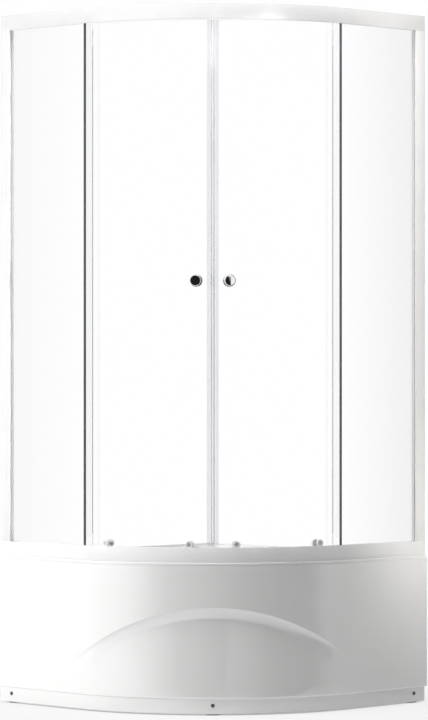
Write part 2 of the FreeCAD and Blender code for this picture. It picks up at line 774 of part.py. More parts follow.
def make_rails():
    """Upper and lower rails: outer face, pane groove, wheel shelf with a lip."""
    reach, along = screw_spot()
    hole = "(frame_screw_radius + screw_play)"
    upper = half_path("upper_rail", [[
        (RAIL_OUT, UPPER_BOTTOM), (RAIL_OUT, TOP), (COVER_IN, TOP), (COVER_IN, f"{TOP} - rail_wall"),
        (GROOVE_OUT, f"{TOP} - rail_wall"), (GROOVE_OUT, UPPER_SHELF), (LIP_OUT, UPPER_SHELF),
        (LIP_OUT, f"{UPPER_SHELF} + lip_height"), (LIP_IN, f"{UPPER_SHELF} + lip_height"),
        (LIP_IN, UPPER_ROOF), (FLANGE_IN, UPPER_ROOF), (FLANGE_IN, UPPER_BOTTOM), (GROOVE_IN, UPPER_BOTTOM),
        (GROOVE_IN, UPPER_ROOF),
        (GROOVE_OUT, UPPER_ROOF), (GROOVE_OUT, UPPER_BOTTOM)]])
    upper_hole = spun("upper_screw_hole", rectangle("0", hole, UPPER_BOTTOM, f"{UPPER_SHELF} + lip_height"),
                      "0", reach, along)
    keep_whole(cut("upper_rail_half", upper, [upper_hole]), "upper_rail")

    lower = half_path("lower_rail", [
        [(RAIL_OUT, "tray_height"), (RAIL_OUT, LOWER_TOP), (GROOVE_OUT, LOWER_TOP), (GROOVE_OUT, LOWER_FLOOR),
         (GROOVE_IN, LOWER_FLOOR), (GROOVE_IN, LOWER_SHELF), (LIP_OUT, LOWER_SHELF),
         (LIP_OUT, f"{LOWER_SHELF} + lip_height"), (LIP_IN, f"{LOWER_SHELF} + lip_height"),
         (LIP_IN, "tray_height")],
        [(GROOVE_OUT, "tray_height + rail_wall"), (GROOVE_OUT, f"{LOWER_FLOOR} - rail_wall"),
         (FLANGE_IN, f"{LOWER_FLOOR} - rail_wall"), (FLANGE_IN, f"{LOWER_SHELF} - rail_wall"),
         (LIP_OUT, f"{LOWER_SHELF} - rail_wall"), (LIP_OUT, "tray_height + rail_wall")]])
    lower_hole = spun("lower_screw_hole", rectangle("0", hole, LOWER_FLOOR, LOWER_TOP), "0", reach, along)
    access = spun("lower_screw_access", rectangle("0", "frame_screw_head + screw_play", "tray_height",
                                                  "tray_height + 2 * rail_wall"), "0", reach, along)
    keep_whole(cut("lower_rail_half", lower, [lower_hole, access]), "lower_rail")

    strip_out = f"({GROOVE_OUT} - screw_play)"
    strip_in = f"({GROOVE_IN} + screw_play)"
    end = f"(45 - asin((pane_reach + strip_gap) / {strip_in}) / 1 deg)"
    filler = upright("threshold_filler", [[
        (strip_out, "0", strip_out, "0", "0"), (f"{strip_out} * cos({end})", f"{strip_out} * sin({end})"),
        (f"{strip_in} * cos({end})", f"{strip_in} * sin({end})", strip_in, "0", "0"), (strip_in, "0")]],
        LOWER_FLOOR, LOWER_SHELF, DIAGONAL)
    keep_whole(filler, "threshold_strip")


def make_posts():
    """Wall posts, the wall profiles inside them and the screws that hold the frame together."""
    inner = f"({POST_IN} + rail_wall)"
    reach, along = screw_spot()
    screw_hole = "(frame_screw_radius + screw_play)"
    middle = f"(({LOWER_TOP} + {UPPER_BOTTOM}) / 2)"
    profile_in = f"({inner} + profile_play)"
    profile_out = f"({GROOVE_OUT} - profile_play)"
    profile_end = f"({WALL} - profile_reach)"
    screw_side = f"({WALL} - profile_screw_inset)"
    screw_end = f"({POST_IN} + profile_screw_length)"
    cross_holes = []
    cross_screws = []
    head = f"({POST_IN} - frame_screw_head_height)"
    levels = (f"{LOWER_TOP} + profile_screw_margin", middle, f"{UPPER_BOTTOM} - profile_screw_margin")
    for number, height in enumerate(levels):
        cross_bore = rectangle(head, f"{screw_end} + rail_wall", "0", screw_hole)
        cross_holes.append(turned(f"profile_screw_hole_{number}", cross_bore, height, side=screw_side))
        cross_screws.append(turned(f"profile_screw_{number}", [
            (head, "0"), (head, "frame_screw_head - frame_screw_bevel"), (POST_IN, "frame_screw_head"),
            (POST_IN, "frame_screw_radius"), (screw_end, "frame_screw_radius"), (screw_end, "0")],
            height, side=screw_side))

    post = upright("post", [[
        (RAIL_OUT, PATH_END), (GROOVE_OUT, PATH_END), (GROOVE_OUT, WEB_BACK), (inner, WEB_BACK),
        (inner, PATH_END), (POST_IN, PATH_END), (POST_IN, PORT_FRONT), (FLANGE_IN, PORT_FRONT),
        (FLANGE_IN, POST_FRONT),
        (GROOVE_IN, POST_FRONT), (GROOVE_IN, WEB_FRONT), (GROOVE_OUT, WEB_FRONT), (GROOVE_OUT, POST_FRONT),
        (RAIL_OUT, POST_FRONT)]], LOWER_TOP, UPPER_BOTTOM)
    port = spun("port", rectangle("0", screw_hole, LOWER_TOP, UPPER_BOTTOM), "0", reach, along)
    keep_pair(cut("right_post", post, [port] + cross_holes), "post")

    web = f"({WALL} - rail_wall)"
    flange_out = f"({profile_out} - rail_wall)"
    flange_in = f"({profile_in} + rail_wall)"
    profile = upright("wall_profile", [[
        (profile_out, WALL), (profile_out, profile_end), (flange_out, profile_end), (flange_out, web),
        (flange_in, web), (flange_in, profile_end), (profile_in, profile_end), (profile_in, WALL)]],
        LOWER_TOP, UPPER_BOTTOM)
    wall_holes = []
    bore = rectangle(f"{WALL} - 2 * rail_wall", f"{WALL} + rail_wall", "0", "wall_hole_radius")
    for height in (f"{LOWER_TOP} + wall_hole_margin", f"{middle} - wall_hole_inner_span / 2",
                   f"{middle} + wall_hole_inner_span / 2", f"{UPPER_BOTTOM} - wall_hole_margin"):
        wall_holes.append(turned(f"wall_hole_{len(wall_holes)}", bore, height, "90",
                                 f"-({profile_in} + {profile_out}) / 2"))
    keep_pair(cut("right_wall_profile", profile, wall_holes + cross_holes), "wall_profile")

    bite = "frame_screw_bite"
    upper_screw = spun("upper_corner_screw", [
        ("0", f"{UPPER_BOTTOM} - {bite}"), ("frame_screw_radius", f"{UPPER_BOTTOM} - {bite}"),
        ("frame_screw_radius", UPPER_SHELF), ("frame_screw_head", UPPER_SHELF),
        ("frame_screw_head - frame_screw_bevel", f"{UPPER_SHELF} + frame_screw_head_height"),
        ("0", f"{UPPER_SHELF} + frame_screw_head_height")], "0", reach, along)
    seat = f"({LOWER_SHELF} - rail_wall)"
    lower_screw = spun("lower_corner_screw", [
        ("0", f"{LOWER_TOP} + {bite}"), ("frame_screw_radius", f"{LOWER_TOP} + {bite}"),
        ("frame_screw_radius", seat), ("frame_screw_head", seat),
        ("frame_screw_head - frame_screw_bevel", f"{seat} - frame_screw_head_height"),
        ("0", f"{seat} - frame_screw_head_height")], "0", reach, along)
    for name, items in (("post_screws", [upper_screw, lower_screw]), ("profile_screws", cross_screws)):
        keep(group(name, items + [mirrored(item.Name + "_mirror", item) for item in items]), name)


def make_fixed_panes():
    """Flat panes at the walls, with glazing gaskets, edge trims and fins."""
    edge = "(-pane_reach)"
    trim_face = f"({edge} - trim_wall)"
    back = f"({WEB_FRONT} - gasket_bed)"
    pane_bottom = f"({LOWER_FLOOR} + gasket_bed)"
    pane_top = f"({UPPER_ROOF} - gasket_bed)"
    pane_plan = [rectangle(PANE_IN, PANE_OUT, edge, back)]
    pane = upright("fixed_pane", pane_plan, pane_bottom, pane_top)
    keep_pair(pane, "fixed_pane")

    long_plan = rectangle(GROOVE_IN, GROOVE_OUT, "0", WEB_FRONT)
    side_plan = rectangle(GROOVE_IN, GROOVE_OUT, POST_FRONT, WEB_FRONT)
    strips = [
        upright("gasket_bottom", [long_plan], LOWER_FLOOR, LOWER_SHELF),
        upright("gasket_top", [long_plan], UPPER_BOTTOM, UPPER_ROOF),
        upright("gasket_side", [side_plan], LOWER_TOP, UPPER_BOTTOM),
    ]
    keep_pair(cut("right_pane_gasket", group("gasket_strips", strips), [pane]), "pane_gasket")

    trim_in = f"({PANE_IN} - trim_wall)"
    trim_out = f"({PANE_OUT} + trim_wall)"
    grip = f"({edge} + trim_grip)"
    trim_bottom = f"({LOWER_TOP} + trim_play)"
    trim_top = f"({UPPER_BOTTOM} - trim_play)"
    trim = upright("edge_trim", [[
        (trim_out, grip), (PANE_OUT, grip), (PANE_OUT, edge), (PANE_IN, edge), (PANE_IN, grip),
        (trim_in, grip), (trim_in, trim_face), (trim_out, trim_face)]], trim_bottom, trim_top)
    keep_pair(trim, "edge_trim")

    fin_bottom = f"({LOWER_AXLE} + wheel_diameter / 2 + fin_lift)"
    fin_plan = rectangle(f"{DOOR_OUT} + fin_gap", trim_out, f"{trim_face} - fin_wall", trim_face)
    fin = upright("edge_fin", [fin_plan], fin_bottom, trim_top)
    keep_pair(fin, "edge_fin")


def make_door():
    """Curved door pane with its seals."""
    span = f"({DOOR_END} - {DOOR_START})"
    pieces = []
    for name, radius in (("door_outside", DOOR_OUT), ("door_inside", DOOR_IN)):
        cylinder = doc.addObject("Part::Cylinder", name)
        bind(cylinder, Radius=radius, Height=f"{DOOR_TOP} - {DOOR_BOTTOM}", Angle=span)
        on_path(cylinder, DOOR_START, height=DOOR_BOTTOM)
        pieces.append(cylinder)
    pane = cut("door_blank", pieces[0], pieces[1:])
    bore = rectangle(f"{DOOR_IN} - cap_round", f"{DOOR_OUT} + cap_round", "0", "bush_radius + bush_play")
    holes = [turned(f"{name}_hole", bore, height, turn) for name, height, turn in roller_spots()]
    holes.append(turned("knob_hole", bore, "knob_height", f"({DIAGONAL} + knob_angle)"))
    keep_pair(cut("right_door_pane", pane, holes), "door_pane")

    outside = f"({DOOR_OUT} + seal_fit)"
    inside = f"({DOOR_IN} - seal_curve_play)"
    outer_skin = f"({outside} + seal_wall)"
    inner_skin = f"({inside} - seal_wall)"
    nose = "(magnet_nose - seal_fit)"
    slot_low = "(magnet_gap + seal_wall)"
    slot_high = f"({slot_low} + magnet_size)"
    mid = f"(({outside} + {inside}) / 2)"
    slot = rectangle(f"{mid} - magnet_size / 2", f"{mid} + magnet_size / 2", slot_low, slot_high)
    keep_pair(upright("magnet_seal", [[
        (inner_skin, "magnet_gap"), (outer_skin, "magnet_gap"), (outer_skin, "seal_width"),
        (outside, "seal_width"), (outside, nose), (inside, nose), (inside, "seal_width"),
        (inner_skin, "seal_width")], slot], SEAL_BOTTOM, SEAL_TOP, DIAGONAL), "magnet_seal")
    bar = rectangle(f"{mid} - magnet_size / 2 + magnet_play", f"{mid} + magnet_size / 2 - magnet_play",
                    f"{slot_low} + magnet_play", f"{slot_high} - magnet_play")
    bar_bottom = f"({SEAL_BOTTOM} + seal_end_gap)"
    bar_top = f"({SEAL_TOP} - seal_end_gap)"
    keep_pair(upright("magnet", [bar], bar_bottom, bar_top, DIAGONAL), "magnet")

    fit = "seal_fit"
    cap = "(seal_fit + seal_wall)"
    keep_pair(upright("trailing_seal", [[
        (inner_skin, "-seal_grip"), (inside, "-seal_grip"), (inside, fit), (outside, fit),
        (outside, "-seal_grip"), (outer_skin, "-seal_grip"), (outer_skin, fit), (FIN_TIP, fit), (FIN_TIP, cap),
        (inner_skin, cap)]],
        SEAL_BOTTOM, SEAL_TOP, DOOR_END), "trailing_seal")


def roller_spots():
    """Name, height and angle of the four rollers of the right-hand door."""
    spots = []
    for level, height in (("upper", UPPER_AXLE), ("lower", LOWER_AXLE)):
        for end, angle in (("front", "front_roller_angle"), ("rear", "rear_roller_angle")):
            spots.append((f"{level}_{end}", height, f"({DIAGONAL} + {angle})"))
    return spots


def make_rollers():
    """Wheels on riveted axles that pass through the door, held by cap nuts inside."""
    bore = "(axle_radius + running_clearance)"
    rim = "(wheel_diameter / 2)"
    wheel = [(WHEEL_IN, bore), (WHEEL_IN, f"{rim} - wheel_round"),
             (f"{WHEEL_IN} + wheel_round", rim), (f"{WHEEL_OUT} - wheel_round", rim),
             (WHEEL_OUT, f"{rim} - wheel_round"), (WHEEL_OUT, "wheel_recess_radius"),
             (f"{WHEEL_OUT} - wheel_recess", "wheel_recess_radius"), (f"{WHEEL_OUT} - wheel_recess", bore)]
    start = f"({DOOR_IN} - thread_reach)"
    shoulder = f"({DOOR_OUT} + seal_fit)"
    hub = f"({WHEEL_IN} - axle_side_play)"
    head = f"({WHEEL_OUT} - wheel_recess + axle_side_play)"
    end = f"({WHEEL_OUT} - axle_side_play / 2)"
    axle = [(start, "0"), (start, "axle_radius"), (DOOR_IN, "axle_radius"), (DOOR_IN, "bush_radius"),
            (shoulder, "bush_radius"), (shoulder, "hub_radius"), (hub, "hub_radius"), (hub, "axle_radius"),
            (head, "axle_radius"), (head, "axle_head"), (end, "axle_head"), (end, "0")]
    seat = f"({DOOR_IN} - cap_seat)"
    crown = f"({seat} - cap_height)"
    brow = f"({crown} + cap_round)"
    pocket = f"({start} - axle_side_play)"
    cap = [(seat, bore), (seat, "cap_radius"),
           (brow, "cap_radius", "cap_round", brow, "cap_radius - cap_round"),
           (crown, "cap_radius - cap_round"), (crown, "0"), (pocket, "0"), (pocket, bore)]
    axles = []
    caps = []
    for name, height, turn in roller_spots():
        axles.append(turned(name + "_axle", axle, height, turn))
        caps.append(turned(name + "_cap", cap, height, turn))
        keep_pair(turned(name + "_wheel", wheel, height, turn), name + "_wheel")
    keep_pair(group("right_roller_axles", axles), "roller_axles")
    keep_pair(group("right_roller_caps", caps), "roller_caps")


def make_knobs():
    """Waisted knobs on both faces of the door, on one stud, with soft washers."""
    turn = f"({DIAGONAL} + knob_angle)"
    stud_play = "(knob_stud_radius + running_clearance)"
    tip = "(knob_stud_reach + knob_tip_gap)"
    chord = "((knob_length - knob_base_height - knob_head_height) / 2)"
    dip = "((knob_diameter - knob_waist) / 2)"
    bend = f"(({chord}^2 + {dip}^2) / (2 * {dip}))"
    rim = "(knob_diameter / 2)"
    base = "(knob_base / 2)"
    brow = "(knob_length - knob_round)"
    profile = [
        ("0", stud_play), ("0", base), ("knob_base_height / 2", base),
        ("knob_base_height", rim, bend, f"knob_base_height + {chord}", f"knob_waist / 2 + {bend}"),
        ("knob_length - knob_head_height", rim), (brow, rim, "knob_round", brow, f"{rim} - knob_round"),
        ("knob_length", f"{rim} - knob_round"), ("knob_length", "0"), (tip, "0"), (tip, stud_play)]

    def knob(name, face, sign):
        corners = []
        for corner in profile:
            moved = [f"({face}) {sign} ({corner[0]})", corner[1]]
            if len(corner) > 2:
                moved += [corner[2], f"({face}) {sign} ({corner[3]})", corner[4]]
            corners.append(tuple(moved))
        return turned(name, corners, "knob_height", turn)

    outer_seat = f"({DOOR_OUT} + seal_fit)"
    inner_seat = f"({DOOR_IN} - washer_seat)"
    outer_face = f"({outer_seat} + washer_thickness)"
    inner_face = f"({inner_seat} - washer_thickness)"
    keep_pair(knob("outer_knob", outer_face, "+"), "outer_knob")
    keep_pair(knob("inner_knob", inner_face, "-"), "inner_knob")
    stud = rectangle(f"{inner_face} - knob_stud_reach", f"{outer_face} + knob_stud_reach", "0",
                     "knob_stud_radius")
    keep_pair(turned("knob_stud", stud, "knob_height", turn), "knob_stud")
    washers = []
    for name, low, high in (("outer", outer_seat, outer_face), ("inner", inner_face, inner_seat)):
        ring = rectangle(low, high, stud_play, "washer_radius")
        washers.append(turned(name + "_washer", ring, "knob_height", turn))
    keep_pair(group("right_knob_washers", washers), "knob_washers")


def make_stops():
    """Rubber blocks on the upper shelf that the rear wheels meet when a door is fully open."""
    pivot_x = "(-(pivot_side + pivot_back) / sqrt(2))"
    pivot_y = "((pivot_back - pivot_side) / sqrt(2))"
    angle = f"({DIAGONAL} + rear_roller_angle)"
    out = f"({TRACK} * cos({angle}) - {pivot_x})"
    along = f"({TRACK} * sin({angle}) - {pivot_y})"
    axle_end = f"({pivot_y} + {out} * sin(open_angle) + {along} * cos(open_angle))"
    face = f"({axle_end} + wheel_diameter / 2 + stop_gap)"
    plan = rectangle(f"{LIP_OUT} + stop_play", f"{GROOVE_OUT} - stop_play", face, f"{face} + stop_length")
    stop = upright("door_stop", [plan], UPPER_SHELF, f"({UPPER_SHELF} + stop_height)")
    keep(group("door_stops", [stop, mirrored("door_stop_mirror", stop)]), "door_stops")


make_tray()
make_apron()
make_apron_fasteners()
make_frame()
make_drain()
make_rails()
make_posts()
make_fixed_panes()
make_door()
make_rollers()
make_knobs()
make_stops()
doc.recompute()

failed = [item.Label for item in doc.Objects if "Invalid" in item.State or "Error" in item.State]
failed += [item.Label for item in subparts if item.Shape.isNull() or not item.Shape.isValid()]
if failed:
    raise RuntimeError("these objects failed: " + ", ".join(failed))

os.makedirs("parts", exist_ok=True)
for item in subparts:
    item.Shape.exportStep(f"parts/{item.Label}.step")
print(len(subparts), "sub-parts written")
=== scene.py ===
"""Looks of a corner shower enclosure: the bowed apron, the fittings, every finish and the studio.

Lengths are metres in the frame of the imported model: +Z is up, the room's corner is at -X and +Y,
and the bowed front faces +X and -Y. The path of the front is a straight, a quarter turn about an
upright axis, and another straight. Places across the path are radii about that axis.
"""
import itertools
import json
import math

import bpy
from mathutils import Matrix, Vector


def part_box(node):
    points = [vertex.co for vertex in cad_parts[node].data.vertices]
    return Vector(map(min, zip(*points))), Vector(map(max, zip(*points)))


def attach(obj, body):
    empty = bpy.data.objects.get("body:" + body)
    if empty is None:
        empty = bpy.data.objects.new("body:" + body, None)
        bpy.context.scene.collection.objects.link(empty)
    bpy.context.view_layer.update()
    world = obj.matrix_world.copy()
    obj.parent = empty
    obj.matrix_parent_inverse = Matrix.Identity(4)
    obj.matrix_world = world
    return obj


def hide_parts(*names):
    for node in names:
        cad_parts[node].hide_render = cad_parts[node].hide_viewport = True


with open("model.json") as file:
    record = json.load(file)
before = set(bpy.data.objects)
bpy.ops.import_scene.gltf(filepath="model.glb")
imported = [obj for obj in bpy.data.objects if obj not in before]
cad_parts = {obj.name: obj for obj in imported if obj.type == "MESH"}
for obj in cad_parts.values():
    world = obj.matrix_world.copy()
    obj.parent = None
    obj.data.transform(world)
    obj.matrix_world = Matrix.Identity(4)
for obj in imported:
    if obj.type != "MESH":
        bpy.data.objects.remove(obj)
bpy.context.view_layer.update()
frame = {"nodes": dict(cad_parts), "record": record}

bl_info = {
    "name": "Shower enclosure",
    "version": (1, 0, 0),
    "blender": (4, 5, 0),
    "location": "View3D > Sidebar > Shower",
    "description": "Dresses the packed frame of a corner shower enclosure",
    "category": "Object",
}

SIDES = ("right", "left")
UP = Vector((0, 0, 1))
OUT = Vector((1, -1, 0)).normalized()
ACROSS = Vector((1, 1, 0)).normalized()
TRAY_LOW, TRAY_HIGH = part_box("tray")
APRON_LOW, APRON_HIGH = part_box("apron")
ROOT = "enclosure"
WHITE = (1, 1, 1, 1)
BLACK = (0, 0, 0, 1)
SHARP = math.radians(40)


class ApronSizes(bpy.types.PropertyGroup):
    """Sizes of the bowed apron and of the recess in it."""
    radius: bpy.props.FloatProperty(
        name="Front radius", description="Radius of the bowed front", default=0.55, unit="LENGTH")
    wall: bpy.props.FloatProperty(
        name="Wall", description="Thickness of the sheet", default=0.004, unit="LENGTH")
    kick_height: bpy.props.FloatProperty(
        name="Kick height", description="Height of the band under the lip", default=0.047, unit="LENGTH")
    kick_setback: bpy.props.FloatProperty(
        name="Kick setback", description="How far the band stands back", default=0.010, unit="LENGTH")
    lip_round: bpy.props.FloatProperty(
        name="Lip round", description="Radius along the lip's edges", default=0.003, unit="LENGTH")
    arch_radius: bpy.props.FloatProperty(
        name="Arch radius", description="Radius of the arch's crease", default=0.58, unit="LENGTH")
    arch_apex: bpy.props.FloatProperty(
        name="Arch apex", description="Height of the crease at the middle", default=0.308, unit="LENGTH")
    arch_reach: bpy.props.FloatProperty(
        name="Arch reach", description="From the middle to the crease's end", default=0.470, unit="LENGTH")
    cove: bpy.props.FloatProperty(
        name="Cove", description="Width of the cove under the crease", default=0.038, unit="LENGTH")
    depth: bpy.props.FloatProperty(
        name="Depth", description="Depth of the recess under the crease", default=0.018, unit="LENGTH")
    scoop_height: bpy.props.FloatProperty(
        name="Scoop height", description="Height of the oval foot's middle", default=0.142, unit="LENGTH")
    scoop_reach: bpy.props.FloatProperty(
        name="Scoop reach", description="Half the oval's width", default=0.345, unit="LENGTH")
    scoop_drop: bpy.props.FloatProperty(
        name="Scoop drop", description="Half the oval's height", default=0.124, unit="LENGTH")
    groove: bpy.props.FloatProperty(
        name="Groove", description="Width of the groove along the crease", default=0.026, unit="LENGTH")
    groove_depth: bpy.props.FloatProperty(
        name="Groove depth", description="Depth of that groove", default=0.004, unit="LENGTH")


class FittingSizes(bpy.types.PropertyGroup):
    """Sizes of the small fittings."""
    edge_round: bpy.props.FloatProperty(
        name="Edge round", description="Radius along the white edges", default=0.0006, unit="LENGTH")
    tube_round: bpy.props.FloatProperty(
        name="Tube round", description="Radius along the tubes' edges", default=0.0005, unit="LENGTH")
    screw_height: bpy.props.FloatProperty(
        name="Screw height", description="Height of the kick band's screws", default=0.028, unit="LENGTH")
    screw_inset: bpy.props.FloatProperty(
        name="Screw inset", description="From the walls to the outer screws", default=0.048, unit="LENGTH")
    screw_radius: bpy.props.FloatProperty(
        name="Screw radius", description="Radius of a screw's head", default=0.0055, unit="LENGTH")
    screw_crown: bpy.props.FloatProperty(
        name="Screw crown", description="Height of a screw's head", default=0.0026, unit="LENGTH")
    knob_seat: bpy.props.FloatProperty(
        name="Knob seat", description="From mid-glass to a knob's base", default=0.0037, unit="LENGTH")
    knob_length: bpy.props.FloatProperty(
        name="Knob length", description="Length of a knob", default=0.028, unit="LENGTH")
    knob_base: bpy.props.FloatProperty(
        name="Knob base", description="Radius of a knob's base ring", default=0.0185, unit="LENGTH")
    knob_head: bpy.props.FloatProperty(
        name="Knob head", description="Radius of a knob's head", default=0.016, unit="LENGTH")
    knob_waist: bpy.props.FloatProperty(
        name="Knob waist", description="Radius of a knob's waist", default=0.010, unit="LENGTH")
    bead_inset: bpy.props.FloatProperty(
        name="Bead inset", description="From the walls to the rim's bead", default=0.0035, unit="LENGTH")
    bead_width: bpy.props.FloatProperty(
        name="Bead width", description="Width of that bead", default=0.004, unit="LENGTH")
    bead_height: bpy.props.FloatProperty(
        name="Bead height", description="Height of that bead", default=0.0045, unit="LENGTH")
    bead_reach: bpy.props.FloatProperty(
        name="Bead reach", description="From the tray's corners to the bead", default=0.045, unit="LENGTH")
    wheel_radius: bpy.props.FloatProperty(
        name="Wheel radius", description="Radius of a roller's tread", default=0.011, unit="LENGTH")
    wheel_width: bpy.props.FloatProperty(
        name="Wheel width", description="Width of a roller", default=0.006, unit="LENGTH")


class FinishColours(bpy.types.PropertyGroup):
    """Colours of the finishes."""
    acrylic: bpy.props.FloatVectorProperty(
        name="Acrylic", description="White of tray and apron", subtype="COLOR", default=(0.82, 0.82, 0.815))
    coating: bpy.props.FloatVectorProperty(
        name="Coating", description="White of rail and posts", subtype="COLOR", default=(0.74, 0.74, 0.74))
    # Painted light: the lower rail gets a lighter copy of the rails' white coating, so it reads brighter.
    painted_light_sill: bpy.props.FloatVectorProperty(
        name="Sill", description="White of the lower rail", subtype="COLOR", default=(0.79, 0.79, 0.79))
    glass: bpy.props.FloatVectorProperty(
        name="Glass", description="Tint of the panes", subtype="COLOR", default=(0.995, 0.998, 0.997))
    seal: bpy.props.FloatVectorProperty(
        name="Seal", description="Tint of the clear extrusions", subtype="COLOR", default=(0.60, 0.61, 0.70))
    dark: bpy.props.FloatVectorProperty(
        name="Dark", description="Edge channels and foot pads", subtype="COLOR", default=(0.05, 0.05, 0.053))
    magnet: bpy.props.FloatVectorProperty(
        name="Magnet", description="Magnets in the seals", subtype="COLOR", default=(0.60, 0.62, 0.68))
    chrome: bpy.props.FloatVectorProperty(
        name="Chrome", description="Polished plating", subtype="COLOR", default=(0.89, 0.89, 0.90))
    zinc: bpy.props.FloatVectorProperty(
        name="Zinc", description="Plated screws and studs", subtype="COLOR", default=(0.86, 0.86, 0.85))
    screw: bpy.props.FloatVectorProperty(
        name="Screw", description="Screws in the kick band", subtype="COLOR", default=(0.16, 0.16, 0.16))
    tube: bpy.props.FloatVectorProperty(
        name="Tube", description="Coating of the base frame", subtype="COLOR", default=(0.20, 0.21, 0.22))
    moulded: bpy.props.FloatVectorProperty(
        name="Moulded", description="White moulded plastic", subtype="COLOR", default=(0.86, 0.86, 0.845))
    rubber: bpy.props.FloatVectorProperty(
        name="Rubber", description="Gaskets, washers and stops", subtype="COLOR", default=(0.86, 0.86, 0.86))


class StageSettings(bpy.types.PropertyGroup):
    """Camera and lights."""
    distance: bpy.props.FloatProperty(
        name="Distance", description="From the room's corner to the camera", default=11.07, unit="LENGTH")
    height: bpy.props.FloatProperty(
        name="Height", description="Camera's height", default=1.020, unit="LENGTH")
    lens: bpy.props.FloatProperty(
        name="Lens", description="Focal length in millimetres", default=175.75)
    shift_x: bpy.props.FloatProperty(
        name="Shift across", description="Sideways shift of the frame", default=0.00174)
    shift_y: bpy.props.FloatProperty(
        name="Shift up", description="Upward shift of the frame", default=-0.00236)
    ambient: bpy.props.FloatProperty(
        name="Ambient", description="Light from all round", default=0.165)
    key: bpy.props.FloatProperty(
        name="Key", description="Power of the lamp on the left", default=114.0, unit="POWER")
    top: bpy.props.FloatProperty(
        name="Top", description="Power of the lamp above the front", default=18.0, unit="POWER")
    strip: bpy.props.FloatProperty(
        name="Strip", description="Power of the lamp on the right", default=1.0, unit="POWER")
    overhead: bpy.props.FloatProperty(
        name="Overhead", description="Power of the lamp over the floor", default=100.0, unit="POWER")
    kicker: bpy.props.FloatProperty(
        name="Kicker", description="Power of the spot on the right", default=128.0, unit="POWER")
    edge: bpy.props.FloatProperty(
        name="Edge", description="Power of the left post's lamp", default=0.34, unit="POWER")
    rail: bpy.props.FloatProperty(
        name="Rail", description="Power of the upper rail's lamp", default=0.2, unit="POWER")
    rear: bpy.props.FloatProperty(
        name="Rear", description="Power of the lamp behind", default=70.0, unit="POWER")
    card_side: bpy.props.FloatProperty(
        name="Card side", description="Sideways place of the reflector card", default=1.0, unit="LENGTH")
    card_width: bpy.props.FloatProperty(
        name="Card width", description="Width of the reflector card", default=0.6, unit="LENGTH")
    dark_turn: bpy.props.FloatProperty(
        name="Dark turn", description="Turn to the dark side", default=math.radians(-7.3), subtype="ANGLE")
    dark_spread: bpy.props.FloatProperty(
        name="Dark spread", description="Half that side's width", default=math.radians(17.7), subtype="ANGLE")


# Modelling helpers

def object_mode():
    """Leave edit mode and select nothing."""
    if bpy.context.mode != "OBJECT":
        bpy.ops.object.mode_set(mode="OBJECT")
    bpy.ops.object.select_all(action="DESELECT")


def take(piece):
    """Make one object the only one selected, and active."""
    object_mode()
    piece.select_set(True)
    bpy.context.view_layer.objects.active = piece


def edit(piece):
    """Open one object's mesh with all of it selected."""
    take(piece)
    bpy.ops.object.mode_set(mode="EDIT")
    bpy.ops.mesh.select_all(action="SELECT")


def added(name):
    """Name the primitive that was just added, and its mesh."""
    piece = bpy.context.object
    piece.name = name
    piece.data.name = name
    return piece


def set_all(target, settings):
    """Set several values of a modifier, node or lamp."""
    for name, value in settings.items():
        setattr(target, name, value)


def modify(piece, kind, **settings):
    """Add one modifier and apply it."""
    take(piece)
    modifier = piece.modifiers.new(kind.title(), kind)
    set_all(modifier, settings)
    bpy.ops.object.modifier_apply(modifier=modifier.name)


def combine(piece, operation, other):
    """Join another piece or cut it out, and drop it."""
    modify(piece, "BOOLEAN", operation=operation, object=other)
    bpy.data.objects.remove(other)


def smooth(piece, degrees):
    """Shade smooth, but for edges sharper than an angle."""
    take(piece)
    bpy.ops.object.shade_smooth_by_angle(angle=math.radians(degrees))


def finish_piece(piece, body, slot, *nodes, finish=None):
    """Dress a piece, hand it to its body and let it stand for the nodes that it shows."""
    object_mode()
    piece.data.materials.clear()
    piece.data.materials.append(FINISHES[finish or slot])
    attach(piece, body)
    if nodes:
        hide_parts(*nodes)


def turned(name, spot, axis, profile, steps):
    """Draw a line of edges and spin it about an axis through a spot. A point of the profile is the
    distance along the axis and the distance from it."""
    side = axis.cross(UP).normalized()
    points = [spot + axis * along + side * radius for along, radius in profile]
    object_mode()
    bpy.ops.mesh.primitive_plane_add(size=0.01)
    piece = added(name)
    edit(piece)
    bpy.ops.mesh.merge(type="CENTER")
    bpy.ops.transform.translate(value=points[0])
    for here, there in zip(points, points[1:]):
        bpy.ops.mesh.extrude_region_move(TRANSFORM_OT_translate={"value": there - here})
    bpy.ops.mesh.select_all(action="SELECT")
    bpy.ops.mesh.spin(steps=steps, angle=math.tau, center=spot, axis=axis)
    bpy.ops.mesh.select_all(action="SELECT")
    bpy.ops.mesh.remove_doubles(threshold=0.00002)
    bpy.ops.mesh.normals_make_consistent()
    object_mode()
    return piece


def quarter(along, radius, round_by, steps=5):
    """Points of a rounded edge that starts along the side and ends across the face."""
    points = []
    for step in range(steps + 1):
        angle = step / steps * math.pi / 2
        points.append((along - round_by + round_by * math.sin(angle),
                       radius - round_by + round_by * math.cos(angle)))
    return points


def softened(node, width):
    """Copy a node's shape, join its loose faces and round its edges."""
    take(frame["nodes"][node])
    bpy.ops.object.duplicate()
    piece = added(node + "_shown")
    piece.parent = None
    for key in list(piece.keys()):
        del piece[key]
    edit(piece)
    bpy.ops.mesh.remove_doubles(threshold=0.00001)
    bpy.ops.mesh.dissolve_limited(angle_limit=math.radians(0.4))
    object_mode()
    modify(piece, "BEVEL", width=width, segments=2, limit_method="ANGLE", angle_limit=SHARP)
    smooth(piece, 35)
    return piece


# Shader helpers

